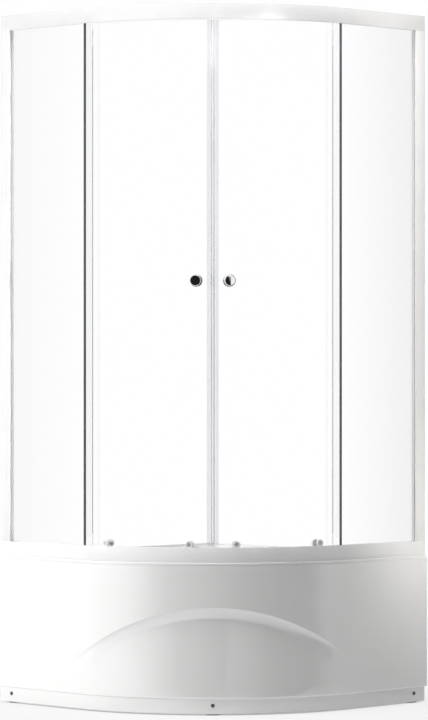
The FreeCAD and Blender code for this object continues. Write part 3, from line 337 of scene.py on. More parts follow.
class Value:
    """A shader socket that adds and multiplies like a number."""

    def __init__(self, finish, socket):
        self.finish = finish
        self.socket = socket

    def __add__(self, other):
        return self.finish.maths("ADD", self, other)

    __radd__ = __add__

    def __sub__(self, other):
        return self.finish.maths("SUBTRACT", self, other)

    def __rsub__(self, other):
        return self.finish.maths("SUBTRACT", other, self)

    def __mul__(self, other):
        return self.finish.maths("MULTIPLY", self, other)

    __rmul__ = __mul__


class Finish:
    """The nodes of a material or world, and the one way that they are added."""

    def __init__(self, owner):
        owner.use_nodes = True
        self.owner = owner
        self.tree = owner.node_tree
        self.tree.nodes.clear()

    def node(self, kind, settings=None, sockets=None, output=0):
        """Add a node, set it up, feed its sockets, and give one of its outputs."""
        node = self.tree.nodes.new(kind)
        set_all(node, settings or {})
        for name, value in (sockets or {}).items():
            if isinstance(value, Value):
                self.tree.links.new(value.socket, node.inputs[name])
            else:
                node.inputs[name].default_value = value
        return Value(self, node.outputs[output]) if node.outputs else None

    def noise(self, scale, detail=2.0, stretch=(1, 1, 1)):
        """Noise on the piece's own place, stretched along an axis if asked."""
        place = self.node("ShaderNodeTexCoord", output="Object")
        place = self.node("ShaderNodeMapping", sockets={"Vector": place, "Scale": stretch})
        return self.node("ShaderNodeTexNoise", sockets={"Vector": place, "Scale": scale, "Detail": detail})

    def ramp(self, value, low, high, kind="LINEAR"):
        """Nought below one value, one above another, and even between."""
        return self.node("ShaderNodeMapRange", {"interpolation_type": kind},
                         {"Value": value, "From Min": low, "From Max": high})

    def band(self, value, low, high):
        """The same, and smooth at both ends."""
        return self.ramp(value, low, high, "SMOOTHSTEP")

    def blend(self, amount, first, second):
        """Mix two colours."""
        colours = {0: amount, 6: first, 7: second}
        return self.node("ShaderNodeMix", {"data_type": "RGBA"}, colours, 2)

    def shades(self, amount, colour, factor):
        """A colour, made darker or lighter by an amount."""
        return self.blend(amount, tinted(colour), tinted(colour, factor))

    def mix(self, amount, first, second):
        """Mix two shaders."""
        return self.node("ShaderNodeMixShader", sockets={0: amount, 1: first, 2: second})

    def maths(self, operation, first, second):
        """One step of maths."""
        return self.node("ShaderNodeMath", {"operation": operation}, {0: first, 1: second})

    def vector(self, operation, *operands, output=0):
        """One step of vector maths."""
        settings = {"operation": operation}
        return self.node("ShaderNodeVectorMath", settings, dict(enumerate(operands)), output)

    def along(self, way, axis):
        """How much of a place or direction is along an axis."""
        return self.vector("DOT_PRODUCT", way, axis, output="Value")

    def ray(self, kind):
        """One for rays of a kind, nought for others."""
        return self.node("ShaderNodeLightPath", output=f"Is {kind} Ray")

    def bump(self, height, strength, distance):
        return self.node("ShaderNodeBump",
                         sockets={"Height": height, "Strength": strength, "Distance": distance})

    def surface(self, **sockets):
        """Principled shader. A socket's name has underscores for spaces."""
        named = {name.replace("_", " "): value for name, value in sockets.items()}
        return self.node("ShaderNodeBsdfPrincipled", sockets=named)

    def shows(self, shader, kind="ShaderNodeOutputMaterial"):
        """Show a shader, and give the material or world."""
        self.node(kind, sockets={"Surface": shader})
        return self.owner


def new_finish(name):
    return Finish(bpy.data.materials.new(name))


def tinted(colour, factor=1.0):
    """Four numbers of a colour, made darker or lighter."""
    return (*[min(1.0, part * factor) for part in colour], 1.0)


def grey(level):
    return (level, level, level, 1)


def acrylic(colour):
    """Glossy vacuum-formed sheet: faint clouds in the white, wiped film, a slow ripple."""
    finish = new_finish("white_acrylic")
    cloud = finish.noise(2.5, 3.0)
    film = finish.noise(34.0, 4.0, (1, 1, 0.35))
    ripple = finish.noise(7.0, 1.0)
    grain = finish.noise(900.0, 1.0)
    tone = finish.shades(finish.band(cloud, 0.35, 0.7), colour, 0.975)
    normal = finish.bump(ripple + grain * 0.01, 0.25, 0.0008)
    return finish.shows(finish.surface(
        Base_Color=tone, Roughness=0.10 + finish.band(film, 0.4, 0.75) * 0.08, Normal=normal,
        IOR=1.8, Coat_Weight=1.0, Coat_Roughness=0.05, Coat_IOR=1.8))


def coating(name, colour):
    """White powder coat: fine orange peel and slightly uneven gloss."""
    finish = new_finish(name)
    peel = finish.noise(620.0, 2.0)
    patch = finish.noise(11.0, 3.0)
    tone = finish.shades(finish.band(patch, 0.4, 0.7), colour, 0.97)
    return finish.shows(finish.surface(
        Base_Color=tone, Roughness=0.30 + patch * 0.14, Normal=finish.bump(peel, 0.12, 0.0004)))


def clear_glass(colour):
    """Toughened glass with faint dried drops, greyer where it is seen askew, and with painted shade on the
    fixed panes that grows towards the posts. Lamps shine through it."""
    finish = new_finish("clear_glass")
    drops = finish.noise(160.0, 2.0, (1, 1, 0.5))
    askew = finish.node("ShaderNodeLayerWeight", output="Facing")
    haze = finish.band(drops, 0.62, 0.78) * 0.2 + finish.band(askew, 0.25, 0.5)
    place = finish.node("ShaderNodeTexCoord", output="Object")
    aside = finish.along(place, ACROSS)
    # Painted shade: the fixed panes turn greyer towards the posts, less on the left. The film here is this
    # painted shade, not a coat on the glass.
    inner, outer, left = 0.37, 0.61, 0.45
    film = finish.ramp(aside, inner, outer) + finish.ramp(aside, -inner, -outer) * left
    tone = finish.shades(haze, colour, 0.94)
    # Painted shade: the panes blend towards a darker glass colour where that mask is high.
    tone = finish.blend(film, tone, tinted(colour, 0.87))
    pane = finish.surface(Base_Color=tone, Roughness=0.0, IOR=1.45, Transmission_Weight=1.0)
    clear = finish.node("ShaderNodeBsdfTransparent", sockets={"Color": tinted(colour, 0.985)})
    return finish.shows(finish.mix(finish.ray("Shadow"), pane, clear))


def clear_seal(name, colour, cloud):
    """Clear soft extrusion, cloudier in streaks along its length."""
    finish = new_finish(name)
    streak = finish.noise(120.0, 3.0, (1, 1, 0.04))
    tone = finish.shades(streak, colour, 0.9)
    return finish.shows(finish.surface(
        Base_Color=tone, Roughness=0.16 + streak * 0.12, Alpha=(1.0 + streak) * cloud))


def dark_plastic(name, colour, gloss):
    """Dark extruded or moulded plastic with drawn streaks and a fine grain."""
    finish = new_finish(name)
    streak = finish.noise(90.0, 3.0, (1, 1, 0.05))
    grain = finish.noise(1100.0, 1.0)
    tone = finish.shades(streak, colour, 1.8)
    return finish.shows(finish.surface(
        Base_Color=tone, Roughness=gloss + streak * 0.15, Normal=finish.bump(grain, 0.15, 0.0003)))


def polished(colour):
    """Chrome plating with hairline scratches and a breath of film."""
    finish = new_finish("chrome")
    hair = finish.noise(420.0, 2.0, (1, 1, 9))
    film = finish.noise(60.0, 3.0)
    tone = finish.shades(film * 0.3, colour, 0.9)
    return finish.shows(finish.surface(
        Base_Color=tone, Metallic=1.0, Roughness=0.04 + finish.band(film, 0.45, 0.8) * 0.07,
        Normal=finish.bump(hair, 0.03, 0.0002)))


def plated(name, colour):
    """Zinc plating: mottled grey, dull in patches."""
    finish = new_finish(name)
    mottle = finish.noise(260.0, 4.0)
    tone = finish.shades(finish.band(mottle, 0.35, 0.7), colour, 0.72)
    return finish.shows(finish.surface(
        Base_Color=tone, Metallic=1.0, Roughness=0.36 + mottle * 0.25,
        Normal=finish.bump(mottle, 0.1, 0.0002)))


def coated_tube(colour):
    """Grey coated steel tube with dust on it and a rough film."""
    finish = new_finish("coated_tube")
    dust = finish.noise(18.0, 5.0)
    peel = finish.noise(480.0, 2.0)
    tone = finish.shades(finish.band(dust, 0.45, 0.75) * 0.5, colour, 1.45)
    return finish.shows(finish.surface(
        Base_Color=tone, Roughness=0.38 + dust * 0.2, Normal=finish.bump(peel, 0.15, 0.0004)))


def moulded(name, colour, gloss):
    """Moulded plastic: even, with a fine grain and slow changes in gloss."""
    finish = new_finish(name)
    cloud = finish.noise(45.0, 3.0)
    grain = finish.noise(1300.0, 1.0)
    tone = finish.shades(finish.band(cloud, 0.35, 0.7), colour, 0.94)
    return finish.shows(finish.surface(
        Base_Color=tone, Roughness=gloss + cloud * 0.14, Normal=finish.bump(grain, 0.12, 0.0003)))


def rubber(colour):
    """Soft matt rubber with a fine bloom."""
    finish = new_finish("soft_rubber")
    bloom = finish.noise(140.0, 4.0)
    tone = finish.shades(finish.band(bloom, 0.4, 0.7), colour, 1.12)
    return finish.shows(finish.surface(
        Base_Color=tone, Roughness=0.62 + bloom * 0.2, Normal=finish.bump(bloom, 0.15, 0.0004)))


FINISHES = {}


def make_finishes(colours):
    """Make each finish, by the slot that it is for, or by the node where a slot has two."""
    FINISHES.update({
        "tray_acrylic": acrylic(colours.acrylic),
        "white_rail": coating("white_coating", colours.coating),
        # Painted light: the lower rail's lighter copy of the same white coating.
        "lower_rail": coating("sill_coating", colours.painted_light_sill),
        "clear_glass": clear_glass(colours.glass),
        "clear_seal": clear_seal("clear_seal", colours.seal, 0.065),
        "thin_seal": clear_seal("thin_seal", colours.seal, 0.022),
        "dark_magnet": dark_plastic("magnet_strip", colours.magnet, 0.4),
        "dark_trim": dark_plastic("edge_channel", colours.dark, 0.2),
        "dark_screw": plated("dark_plate", colours.screw),
        "chrome": polished(colours.chrome),
        "steel": plated("zinc_plate", colours.zinc),
        "white_plastic": moulded("white_moulding", colours.moulded, 0.22),
        "wheel_plastic": moulded("wheel_moulding", colours.moulded, 0.34),
        "black_plastic": dark_plastic("foot_moulding", colours.dark, 0.42),
        "frame_steel": coated_tube(colours.tube),
        "soft_rubber": rubber(colours.rubber),
    })


# The front's path

def centre(sizes):
    """Foot of the upright axis that the front bends about."""
    return Vector((TRAY_HIGH.x - sizes.radius, TRAY_LOW.y + sizes.radius, 0))


def seat(node, sizes):
    """Middle of a node, and the level direction to it from that axis."""
    low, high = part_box(node)
    spot = (low + high) / 2
    way = spot - centre(sizes)
    way.z = 0
    return spot, way.normalized()


def on_front(along, radius, height, sizes):
    """A point of the front, by its distance along the path from the middle, out and up."""
    middle = centre(sizes)
    bend = sizes.radius * math.pi / 4
    side = 1 if along > 0 else -1
    angle = min(abs(along), bend) / sizes.radius
    straight = max(abs(along) - bend, 0.0)
    outward = OUT * math.cos(angle) + ACROSS * math.sin(angle) * side
    onward = ACROSS * math.cos(angle) * side - OUT * math.sin(angle)
    return middle + outward * radius + onward * straight + UP * height


def arch(lateral, sizes):
    """Height of the apron's arched crease."""
    foot = sizes.arch_apex - sizes.arch_radius
    return foot + math.sqrt(max(sizes.arch_radius ** 2 - lateral ** 2, 0.0))


def recess(lateral, height, sizes):
    """Depth of the apron's recess: a cove under the crease, a flatter face that leans out to an
    oval foot, and a groove that runs on beside the oval."""
    inside = sizes.arch_radius - math.hypot(lateral, height - sizes.arch_apex + sizes.arch_radius)
    if inside <= 0 or abs(lateral) >= sizes.arch_reach:
        return 0.0
    fade = 1 - (lateral / sizes.arch_reach) ** 2
    cove = 1 - (1 - min(inside / sizes.cove, 1.0)) ** 2
    bowl = max(1 - (lateral / sizes.scoop_reach) ** 2, 0.0)
    foot = sizes.scoop_height - sizes.scoop_drop * math.sqrt(bowl)
    foot = max(foot, sizes.kick_height + sizes.lip_round)
    lean = max(height - foot, 0.0) / (arch(lateral, sizes) - foot)
    scoop = sizes.depth * cove * lean * math.sqrt(bowl)
    share = min(inside / sizes.groove, 1.0)
    to_full_depth = 27 / 4
    groove = sizes.groove_depth * fade * to_full_depth * share * (1 - share) ** 2
    return scoop + groove * (1 - bowl)


def evenly(low, high, steps):
    """Heights from a low one up, short of the high one."""
    return [low + (high - low) * step / steps for step in range(steps)]


class SHOWER_OT_apron(bpy.types.Operator):
    """Bowed apron: a sheet along the front, hollowed under its arch, with a lip and a kick band"""
    bl_idname = "shower.apron"
    bl_label = "Apron"

    COLUMNS = 220
    ROWS_IN = 34
    ROWS_SLOPE = 9
    ROWS_ABOVE = 12
    LIP_STEPS = 6
    LIP_TUCK = 0.002
    CREASE_CLEAR = 0.012
    SLOPE_SHARE = 1.15
    TOP_ROUND = 0.001

    def rows(self, lateral, sizes):
        """Radius and height of each row of one column, from the floor up."""
        band = sizes.radius - sizes.kick_setback
        lip = sizes.kick_height
        curl = sizes.lip_round
        points = [(band - curl / 2, APRON_LOW.z), (band, APRON_LOW.z + curl / 2),
                  (band, lip - self.LIP_TUCK), (band, lip)]
        points += [(out, -down) for out, down in quarter(sizes.radius, -lip, curl, self.LIP_STEPS)]
        start = lip + curl
        crease = max(start + self.CREASE_CLEAR, arch(lateral, sizes))
        slope = crease - min(sizes.cove * self.SLOPE_SHARE, (crease - start) / 2)
        top = APRON_HIGH.z - self.TOP_ROUND
        heights = evenly(start, slope, self.ROWS_IN)[1:]
        heights += evenly(slope, crease, self.ROWS_SLOPE)
        heights += evenly(crease, top, self.ROWS_ABOVE) + [top]
        points += [(sizes.radius - recess(lateral, height, sizes), height) for height in heights]
        points.append((sizes.radius - self.TOP_ROUND, APRON_HIGH.z))
        return points

    def execute(self, context):
        sizes = context.scene.shower_apron
        half = sizes.radius * math.pi / 4 + APRON_HIGH.y - centre(sizes).y
        columns = []
        for step in range(self.COLUMNS + 1):
            along = half * (2 * step / self.COLUMNS - 1)
            lateral = (on_front(along, sizes.radius, 0, sizes) - centre(sizes)).dot(ACROSS)
            columns.append([on_front(along, radius, height, sizes)
                            for radius, height in self.rows(lateral, sizes)])
        last = len(columns[0]) - 1
        object_mode()
        bpy.ops.mesh.primitive_grid_add(x_subdivisions=self.COLUMNS, y_subdivisions=last, size=1)
        piece = added("apron_sheet")
        for vertex in piece.data.vertices:
            column = round((vertex.co.x + 0.5) * self.COLUMNS)
            row = round((vertex.co.y + 0.5) * last)
            vertex.co = columns[column][row]
        modify(piece, "SOLIDIFY", thickness=sizes.wall, offset=-1)
        smooth(piece, 14)
        finish_piece(piece, ROOT, "tray_acrylic", "apron")
        return {"FINISHED"}


class SHOWER_OT_screws(bpy.types.Operator):
    """Cross-headed screws in the kick band"""
    bl_idname = "shower.screws"
    bl_label = "Kick band screws"

    STEPS = 28
    BASE = 0.0001
    BROW = 0.55
    EDGE_TOP, EDGE_ROUND = 0.8, 0.6
    ARM_LENGTH, ARM_WIDTH = 1.2, 0.22

    def execute(self, context):
        sizes = context.scene.shower_apron
        small = context.scene.shower_fittings
        band = sizes.radius - sizes.kick_setback
        end = sizes.radius * math.pi / 4 + TRAY_HIGH.y - centre(sizes).y - small.screw_inset
        pieces = []
        for number, along in enumerate((-end, 0.0, end)):
            spot = on_front(along, band, small.screw_height, sizes)
            axis = (on_front(along, band + 1, small.screw_height, sizes) - spot).normalized()
            crown = small.screw_crown
            profile = [(self.BASE, 0.0), (self.BASE, small.screw_radius)]
            profile += quarter(crown * self.EDGE_TOP, small.screw_radius, crown * self.EDGE_ROUND)
            profile += [(crown, small.screw_radius * self.BROW), (crown, 0.0)]
            head = turned(f"kick_screw_{number}", spot, axis, profile, self.STEPS)
            cross = self.cross(spot + axis * crown, axis, small)
            combine(head, "DIFFERENCE", cross)
            smooth(head, 35)
            pieces.append(head)
        object_mode()
        for piece in pieces:
            piece.select_set(True)
        bpy.context.view_layer.objects.active = pieces[0]
        bpy.ops.object.join()
        whole = added("kick_screws")
        finish_piece(whole, ROOT, "steel", "apron_screws", finish="dark_screw")
        return {"FINISHED"}

    def cross(self, spot, axis, small):
        """Cross-shaped cutter for a driver's recess."""
        turn = axis.to_track_quat("Z", "Y").to_matrix().to_4x4()
        arms = []
        length, width = small.screw_radius * self.ARM_LENGTH, small.screw_radius * self.ARM_WIDTH
        for across, along in ((length, width), (width, length)):
            object_mode()
            bpy.ops.mesh.primitive_cube_add(size=1)
            arm = added("recess_arm")
            size = Matrix.Diagonal((across, along, small.screw_crown, 1))
            arm.matrix_world = Matrix.Translation(spot) @ turn @ size
            arms.append(arm)
        combine(arms[0], "UNION", arms[1])
        return arms[0]


class SHOWER_OT_bead(bpy.types.Operator):
    """Raised bead on the tray's rim along both walls"""
    bl_idname = "shower.bead"
    bl_label = "Rim bead"

    SUNK = 0.0005
    ROUND = 0.3

    def leg(self, low, high):
        """Plain box between two corners."""
        object_mode()
        bpy.ops.mesh.primitive_cube_add(size=1, location=(low + high) / 2)
        leg = added("rim_bead")
        leg.scale = high - low
        bpy.ops.object.transform_apply()
        return leg

    def execute(self, context):
        small = context.scene.shower_fittings
        inset, width, reach = small.bead_inset, small.bead_width, small.bead_reach
        foot = TRAY_HIGH.z - self.SUNK
        top = TRAY_HIGH.z + small.bead_height
        left, back = TRAY_LOW.x + inset, TRAY_HIGH.y - inset
        bead = self.leg(Vector((left, TRAY_LOW.y + reach, foot)), Vector((left + width, back, top)))
        other = self.leg(Vector((left, back - width, foot)), Vector((TRAY_HIGH.x - reach, back, top)))
        combine(bead, "UNION", other)
        modify(bead, "BEVEL", width=width * self.ROUND, segments=3, limit_method="ANGLE", angle_limit=SHARP)
        smooth(bead, 35)
        finish_piece(bead, ROOT, "tray_acrylic")
        return {"FINISHED"}


class SHOWER_OT_sections(bpy.types.Operator):
    """Rails, posts and wall profiles with rounded edges"""
    bl_idname = "shower.sections"
    bl_label = "White sections"

    def execute(self, context):
        width = context.scene.shower_fittings.edge_round
        nodes = ["upper_rail", "lower_rail"]
        nodes += [f"{side}_{name}" for side in SIDES for name in ("post", "wall_profile")]
        for node in nodes:
            # The lower rail takes its own lighter copy of the coating, which is painted light.
            finish = node if node in FINISHES else None
            finish_piece(softened(node, width), ROOT, "white_rail", node, finish=finish)
        return {"FINISHED"}


class SHOWER_OT_base_frame(bpy.types.Operator):
    """Square tubes of the base frame with rounded corners"""
    bl_idname = "shower.base_frame"
    bl_label = "Base frame"

    def execute(self, context):
        width = context.scene.shower_fittings.tube_round
        for node in ("frame_uprights", "frame_beams"):
            finish_piece(softened(node, width), ROOT, "frame_steel", node)
        return {"FINISHED"}


class SHOWER_OT_knobs(bpy.types.Operator):
    """Turned knobs with a base ring, a waist and a rounded head"""
    bl_idname = "shower.knobs"
    bl_label = "Knobs"

    STEPS = 56
    BASE_CUT = 0.0005
    RING_TOP, RING_ROUND = 0.0032, 0.0012
    NECK, SHOULDER = 0.0042, 0.001
    HEAD_DEPTH, HEAD_STEP = 0.010, 0.0008
    FACE_ROUND, FACE_RISE = 0.0022, 0.0006
    WAIST_STEPS, ROUND_STEPS, FACE_STEPS = 8, 7, 6

    def execute(self, context):
        small = context.scene.shower_fittings
        for side in SIDES:
            spot, out = seat(f"{side}_knob_stud", context.scene.shower_apron)
            for face, sign in (("outer", 1), ("inner", -1)):
                axis = out * sign
                node = f"{side}_{face}_knob"
                piece = turned(node + "_shown", spot + axis * small.knob_seat, axis,
                               self.profile(small), self.STEPS)
                smooth(piece, 40)
                finish_piece(piece, f"{side}_door", "chrome", node)
        return {"FINISHED"}

    def profile(self, small):
        """Outline of a knob from its base to the middle of its face."""
        ring, head, length = small.knob_base, small.knob_head, small.knob_length
        start, end = self.NECK, length - self.HEAD_DEPTH
        shoulder, face = head - self.SHOULDER, head - self.FACE_ROUND
        points = [(0.0, 0.0), (0.0, ring - self.BASE_CUT), (self.BASE_CUT, ring)]
        points += quarter(self.RING_TOP, ring, self.RING_ROUND)
        for step in range(self.WAIST_STEPS + 1):
            share = step / self.WAIST_STEPS
            dip = (shoulder - small.knob_waist) * math.sin(share * math.pi)
            points.append((start + (end - start) * share, shoulder - dip))
        points.append((end + self.HEAD_STEP, head))
        points += quarter(length, head, self.FACE_ROUND, self.ROUND_STEPS)
        for step in range(1, self.FACE_STEPS + 1):
            share = 1 - step / self.FACE_STEPS
            points.append((length + self.FACE_RISE * (1 - share * share), face * share))
        return points


class SHOWER_OT_rollers(bpy.types.Operator):
    """Door rollers with a grooved tread and a dished hub"""
    bl_idname = "shower.rollers"
    bl_label = "Rollers"

    STEPS = 40
    BORE, HUB, WEB_FOOT, WEB_TOP, RIM_FOOT = 0.00305, 0.0052, 0.006, 0.0082, 0.009
    WEB_DEPTH = 0.0008
    DISH_DEPTH, DISH_RADIUS = 0.0015, 0.0064
    EDGE, EDGE_CUT = 0.0012, 0.0004
    GROOVE, GROOVE_FLARE = 0.0006, 1.6

    def execute(self, context):
        outline = self.profile(context.scene.shower_fittings)
        for side, level, end in itertools.product(SIDES, ("upper", "lower"), ("front", "rear")):
            node = f"{side}_{level}_{end}_wheel"
            spot, axis = seat(node, context.scene.shower_apron)
            piece = turned(node + "_shown", spot, axis, outline, self.STEPS)
            smooth(piece, 35)
            finish_piece(piece, node, "wheel_plastic", node)
        return {"FINISHED"}

    def profile(self, small):
        """Outline of a wheel, from its bore over the tread and back."""
        half, rim, groove = small.wheel_width / 2, small.wheel_radius, self.GROOVE
        web, dish = half - self.WEB_DEPTH, half - self.DISH_DEPTH
        back = [(-half, self.BORE), (-half, self.HUB), (-web, self.WEB_FOOT), (-web, self.WEB_TOP),
                (-half, self.RIM_FOOT), (-half, rim - self.EDGE)]
        tread = [(self.EDGE_CUT - half, rim - self.EDGE_CUT), (self.EDGE - half, rim),
                 (-groove * self.GROOVE_FLARE, rim), (-groove, rim - groove)]
        tread += [(-along, radius) for along, radius in reversed(tread)]
        front = [(half, self.RIM_FOOT), (web, self.WEB_TOP), (dish, self.DISH_RADIUS),
                 (dish, self.BORE), (-half, self.BORE)]
        return back + tread + front


class SHOWER_OT_finishes(bpy.types.Operator):
    """Every finish, put on the nodes that show as they are"""
    bl_idname = "shower.finishes"
    bl_label = "Finishes"

    def execute(self, context):
        make_finishes(context.scene.shower_colours)
        for entry in frame["record"]["subparts"]:
            node = frame["nodes"][entry["node"]]
            node.data.materials.clear()
            thin = entry["node"].endswith(("trailing_seal", "edge_fin"))
            node.data.materials.append(FINISHES["thin_seal" if thin else entry["material_slot"]])
        return {"FINISHED"}


def at(out, across, up):
    """A place by how far it is towards the camera, to the right and up."""
    return OUT * out + ACROSS * across + UP * up


class SHOWER_OT_stage(bpy.types.Operator):
    """Camera, white floor, reflector card, lamps and world"""
    bl_idname = "shower.stage"
    bl_label = "Stage"

    SENSOR = 36.0
    VIEW_END = 100.0

    # The floor: its size, where it turns plain white, where its dim part starts, and its tones, the last
    # being the grey of a painted shadow under the tray
    FLOOR_SIZE = 400.0
    FLOOR_FAR = (1.0, 3.5)
    FLOOR_DIM, FLOOR_DIM_SHIFT = (1.0, 1.7), 0.45
    FLOOR_PAPER, FLOOR_SHADE, FLOOR_GLOW, FLOOR_UNDER = 0.8, 0.17, 0.75, 0.42
    UNDER_SOFT = 0.02

    # What metal and gloss mirror: ranges are shares of a direction that are along an axis
    DARKEST = 0.985
    DARK_SOFT = 0.01
    LOW_FRONT, LOW_LEFT = (-0.2, 0.0), (-0.87, -0.42)
    LOW_RIGHT, LOW_RIGHT_LIFT = (0.88, 0.96), 0.45
    SIDE_START, SIDE_DIM = (0.1, 0.6), 0.95
    SIDE_END, SIDE_LIFT = (0.8, 0.97), 0.35
    WALL_TOP = (0.10, 0.20)
    WALL_RIGHT, WALL_DIM = (0.4, 0.75), 0.8

    CARD_AHEAD, CARD_MIDDLE, CARD_HEIGHT = 3.4, 1.3, 1.3
    WARM = (1.0, 0.97, 0.92)

    def execute(self, context):
        settings = context.scene.shower_stage
        self.camera(settings)
        self.floor(context.scene.shower_apron)
        self.card(settings)
        self.lamps(settings)
        self.world(settings)
        context.scene.view_settings.view_transform = "Standard"
        return {"FINISHED"}

    def camera(self, settings):
        """Camera in front, level, on the line from the room's corner through the middle."""
        object_mode()
        corner = Vector((TRAY_LOW.x, TRAY_HIGH.y, 0))
        place = corner + OUT * settings.distance + UP * settings.height
        turn = (-OUT).to_track_quat("-Z", "Y").to_euler()
        bpy.ops.object.camera_add(location=place, rotation=turn)
        camera = bpy.context.object
        camera.data.sensor_fit = "VERTICAL"
        camera.data.sensor_height = self.SENSOR
        camera.data.lens = settings.lens
        camera.data.shift_x = settings.shift_x
        camera.data.shift_y = settings.shift_y
        camera.data.clip_end = self.VIEW_END
        bpy.context.scene.camera = camera

    def under(self, finish, place, apron):
        """One for places under the tray, nought round it: the mask of the floor's painted shadow."""
        edge, soft = apron.radius - apron.kick_setback, self.UNDER_SOFT
        ahead = finish.vector("SUBTRACT", place, centre(apron))
        ahead = finish.vector("MULTIPLY", ahead, (1, -1, 0))
        ahead = finish.vector("MAXIMUM", ahead, (0, 0, 0))
        away = finish.vector("LENGTH", ahead, output="Value")
        left = finish.band(finish.along(place, (1, 0, 0)), TRAY_LOW.x, TRAY_LOW.x + soft)
        back = finish.band(finish.along(place, (0, -1, 0)), -TRAY_HIGH.y, soft - TRAY_HIGH.y)
        return (1.0 - finish.band(away, edge - soft / 2, edge + soft / 2)) * left * back

    def floor(self, apron):
        """White floor. The camera sees it nearly white with a faint shadow, a painted shadow under the tray,
        and plain white farther off. Gloss sees it dim in front and on the right, but for the part near the
        apron."""
        object_mode()
        bpy.ops.mesh.primitive_plane_add(size=self.FLOOR_SIZE)
        floor = added("floor")
        finish = new_finish("white_floor")
        place = finish.node("ShaderNodeTexCoord", output="Object")
        away = finish.vector("LENGTH", place, output="Value")
        way = finish.vector("NORMALIZE", place)
        far = finish.band(away, *self.FLOOR_FAR)
        reach = away + finish.along(way, ACROSS) * self.FLOOR_DIM_SHIFT
        dim = self.low_dimness(finish, way) * finish.band(reach, *self.FLOOR_DIM)
        paper = finish.node("ShaderNodeBsdfDiffuse", sockets={"Color": grey(self.FLOOR_PAPER)})
        # Painted shadow: the floor's glow turns to a darker grey under the tray.
        under = self.under(finish, place, apron)
        glow = finish.blend(under, grey(self.FLOOR_GLOW), grey(self.FLOOR_UNDER))
        glow = finish.blend(far, glow, WHITE)
        shown = finish.surface(
            Base_Color=finish.blend(far, grey(self.FLOOR_SHADE), BLACK), Roughness=1.0,
            Specular_IOR_Level=0.0, Emission_Strength=1.0,
            Emission_Color=finish.blend(self.mirrors(finish, dim), glow, BLACK))
        floor.data.materials.append(finish.shows(finish.mix(self.seen(finish), paper, shown)))

    def card(self, settings):
        """White card that only mirrors see: the bright side of the knobs' faces."""
        object_mode()
        middle = at(self.CARD_AHEAD, settings.card_side, self.CARD_MIDDLE)
        turn = OUT.to_track_quat("Z", "Y").to_euler()
        bpy.ops.mesh.primitive_plane_add(size=1.0, location=middle, rotation=turn)
        card = added("reflector_card")
        card.scale = (settings.card_width, self.CARD_HEIGHT, 1.0)
        bpy.ops.object.transform_apply()
        finish = new_finish("white_card")
        tone = finish.blend(finish.noise(2.0, 1.0), grey(0.97), WHITE)
        glow = finish.node("ShaderNodeEmission", sockets={"Color": tone})
        card.data.materials.append(finish.shows(glow))
        for ray in ("camera", "diffuse", "transmission", "volume_scatter", "shadow"):
            setattr(card, "visible_" + ray, False)

    def low_dimness(self, finish, way):
        """How dim the floor and the foot of the walls are: dark in front, less so far right."""
        aside = finish.along(way, ACROSS)
        ahead = finish.band(finish.along(way, OUT), *self.LOW_FRONT)
        right = self.DARKEST - finish.band(aside, *self.LOW_RIGHT) * self.LOW_RIGHT_LIFT
        return ahead * finish.band(aside, *self.LOW_LEFT) * right

    def dimness(self, finish, way, settings):
        """How dim the studio is one way: dark behind the camera, dim on the right and low down."""
        dark = OUT * math.cos(settings.dark_turn) + ACROSS * math.sin(settings.dark_turn)
        edge, soft = math.cos(settings.dark_spread), self.DARK_SOFT
        aside = finish.along(way, ACROSS)
        behind = finish.band(finish.along(way, dark), edge - soft, edge + soft) * self.DARKEST
        right = finish.band(aside, *self.SIDE_START) * self.SIDE_DIM
        right = right - finish.band(aside, *self.SIDE_END) * self.SIDE_LIFT
        low = 1.0 - finish.band(finish.along(way, UP), *self.WALL_TOP)
        low = self.low_dimness(finish, way) * low
        low = low * (self.WALL_DIM + finish.band(aside, *self.WALL_RIGHT) * (1 - self.WALL_DIM))
        return finish.maths("MAXIMUM", finish.maths("MAXIMUM", behind, right), low)

    def mirrors(self, finish, amount):
        """Keep an amount for metal and gloss only, so that the clear glass stays white."""
        return amount * finish.ray("Glossy") * (1.0 - finish.ray("Singular"))

    def seen(self, finish):
        """One for rays that look at the background, straight or by a mirror or glass."""
        bent = finish.maths("MAXIMUM", finish.ray("Glossy"), finish.ray("Transmission"))
        return finish.maths("MAXIMUM", finish.ray("Camera"), bent)

    def lamp(self, name, kind, place, target, power, **traits):
        """Lamp that aims at a target. It isn't seen straight, in a mirror or through glass."""
        object_mode()
        turn = (target - place).to_track_quat("-Z", "Y").to_euler()
        bpy.ops.object.light_add(type=kind, location=place, rotation=turn)
        lamp = bpy.context.object
        lamp.name = name
        set_all(lamp.data, {"energy": power, **traits})
        for ray in ("camera", "glossy", "transmission"):
            setattr(lamp, "visible_" + ray, False)

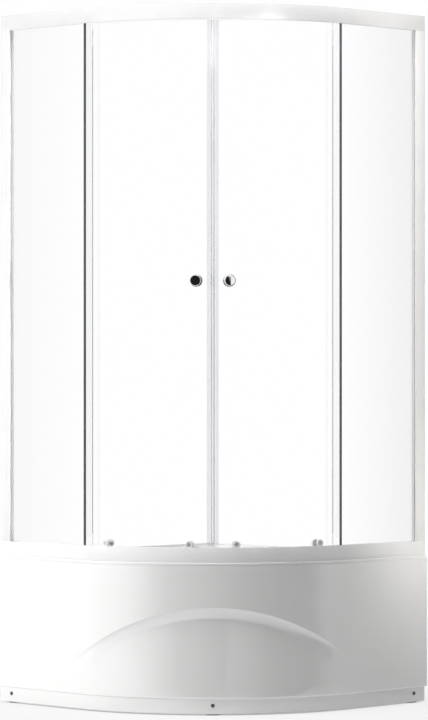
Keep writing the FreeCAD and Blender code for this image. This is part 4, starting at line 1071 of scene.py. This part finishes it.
    def lamps(self, settings):
        """Large lamps on three sides, long ones for the upper rail, small ones for the ends."""
        self.lamp("key_lamp", "AREA", at(1.4, -3.8, 1.2), at(0, 0, 0.9), settings.key, size=1.8)
        self.lamp("top_lamp", "AREA", at(1.5, 0.9, 2.75), at(0.3, 0.4, 1.9), settings.top,
                  shape="RECTANGLE", size=2.6, size_y=0.3)
        self.lamp("strip_lamp", "AREA", at(0.7, 1.2, 1.35), at(0, 0.5, 1.35), settings.strip,
                  color=self.WARM, shape="RECTANGLE", size=0.15, size_y=1.6, spread=math.radians(45))
        self.lamp("kicker_lamp", "SPOT", at(1.2, 2.2, 1.5), at(0, 0.67, 0.49), settings.kicker,
                  color=self.WARM, spot_size=math.radians(14), spot_blend=1.0, shadow_soft_size=0.2)
        self.lamp("overhead_lamp", "AREA", at(0.9, 0, 4.5), at(0.9, 0, 0), settings.overhead, size=2.0)
        self.lamp("edge_lamp", "AREA", at(1.2, 1.9, 1.25), at(0.018, -0.598, 1.25), settings.edge,
                  shape="RECTANGLE", size=0.05, size_y=1.5, spread=math.radians(2.2))
        self.lamp("rail_lamp", "AREA", at(2.0, 0.1, 1.93), at(0, 0.1, 1.93), settings.rail,
                  shape="RECTANGLE", size=0.8, size_y=0.05, spread=math.radians(8))
        self.lamp("rear_lamp", "AREA", at(-3.2, 0, 2.2), at(0, 0, 1.0), settings.rear, size=2.0)

    def world(self, settings):
        """White all round for the camera and through glass. Metal and gloss mirror a dark side
        behind the camera and dim ones on the right and low down. Even light for the rest."""
        finish = Finish(bpy.data.worlds.new("white_studio"))
        way = finish.node("ShaderNodeTexCoord", output="Generated")
        dim = self.mirrors(finish, self.dimness(finish, way, settings))
        colour = finish.blend(dim, WHITE, BLACK)
        bright = finish.node("ShaderNodeBackground", sockets={"Color": colour})
        even = {"Color": WHITE, "Strength": settings.ambient}
        soft = finish.node("ShaderNodeBackground", sockets=even)
        both = finish.mix(self.seen(finish), soft, bright)
        bpy.context.scene.world = finish.shows(both, "ShaderNodeOutputWorld")


class SHOWER_PT_panel(bpy.types.Panel):
    """Lists the pieces of the shower enclosure"""
    bl_label = "Shower enclosure"
    bl_space_type = "VIEW_3D"
    bl_region_type = "UI"
    bl_category = "Shower"

    def draw(self, context):
        for operator in OPERATORS:
            self.layout.operator(operator.bl_idname)
        for group in (getattr(context.scene, name) for name in GROUPS):
            for name in group.bl_rna.properties.keys():
                if name not in ("rna_type", "name"):
                    self.layout.prop(group, name)


GROUPS = {"shower_apron": ApronSizes, "shower_fittings": FittingSizes,
          "shower_colours": FinishColours, "shower_stage": StageSettings}
OPERATORS = (SHOWER_OT_finishes, SHOWER_OT_apron, SHOWER_OT_screws, SHOWER_OT_bead,
             SHOWER_OT_sections, SHOWER_OT_base_frame, SHOWER_OT_knobs, SHOWER_OT_rollers,
             SHOWER_OT_stage)
CLASSES = (*GROUPS.values(), *OPERATORS, SHOWER_PT_panel)


def register():
    for cls in CLASSES:
        bpy.utils.register_class(cls)
    for name, group in GROUPS.items():
        setattr(bpy.types.Scene, name, bpy.props.PointerProperty(type=group))


def unregister():
    for name in GROUPS:
        delattr(bpy.types.Scene, name)
    for cls in reversed(CLASSES):
        bpy.utils.unregister_class(cls)


def main():
    register()
    bpy.ops.shower.finishes()
    bpy.ops.shower.apron()
    bpy.ops.shower.screws()
    bpy.ops.shower.bead()
    bpy.ops.shower.sections()
    bpy.ops.shower.base_frame()
    bpy.ops.shower.knobs()
    bpy.ops.shower.rollers()
    bpy.ops.shower.stage()


if __name__ == "__main__":
    main()
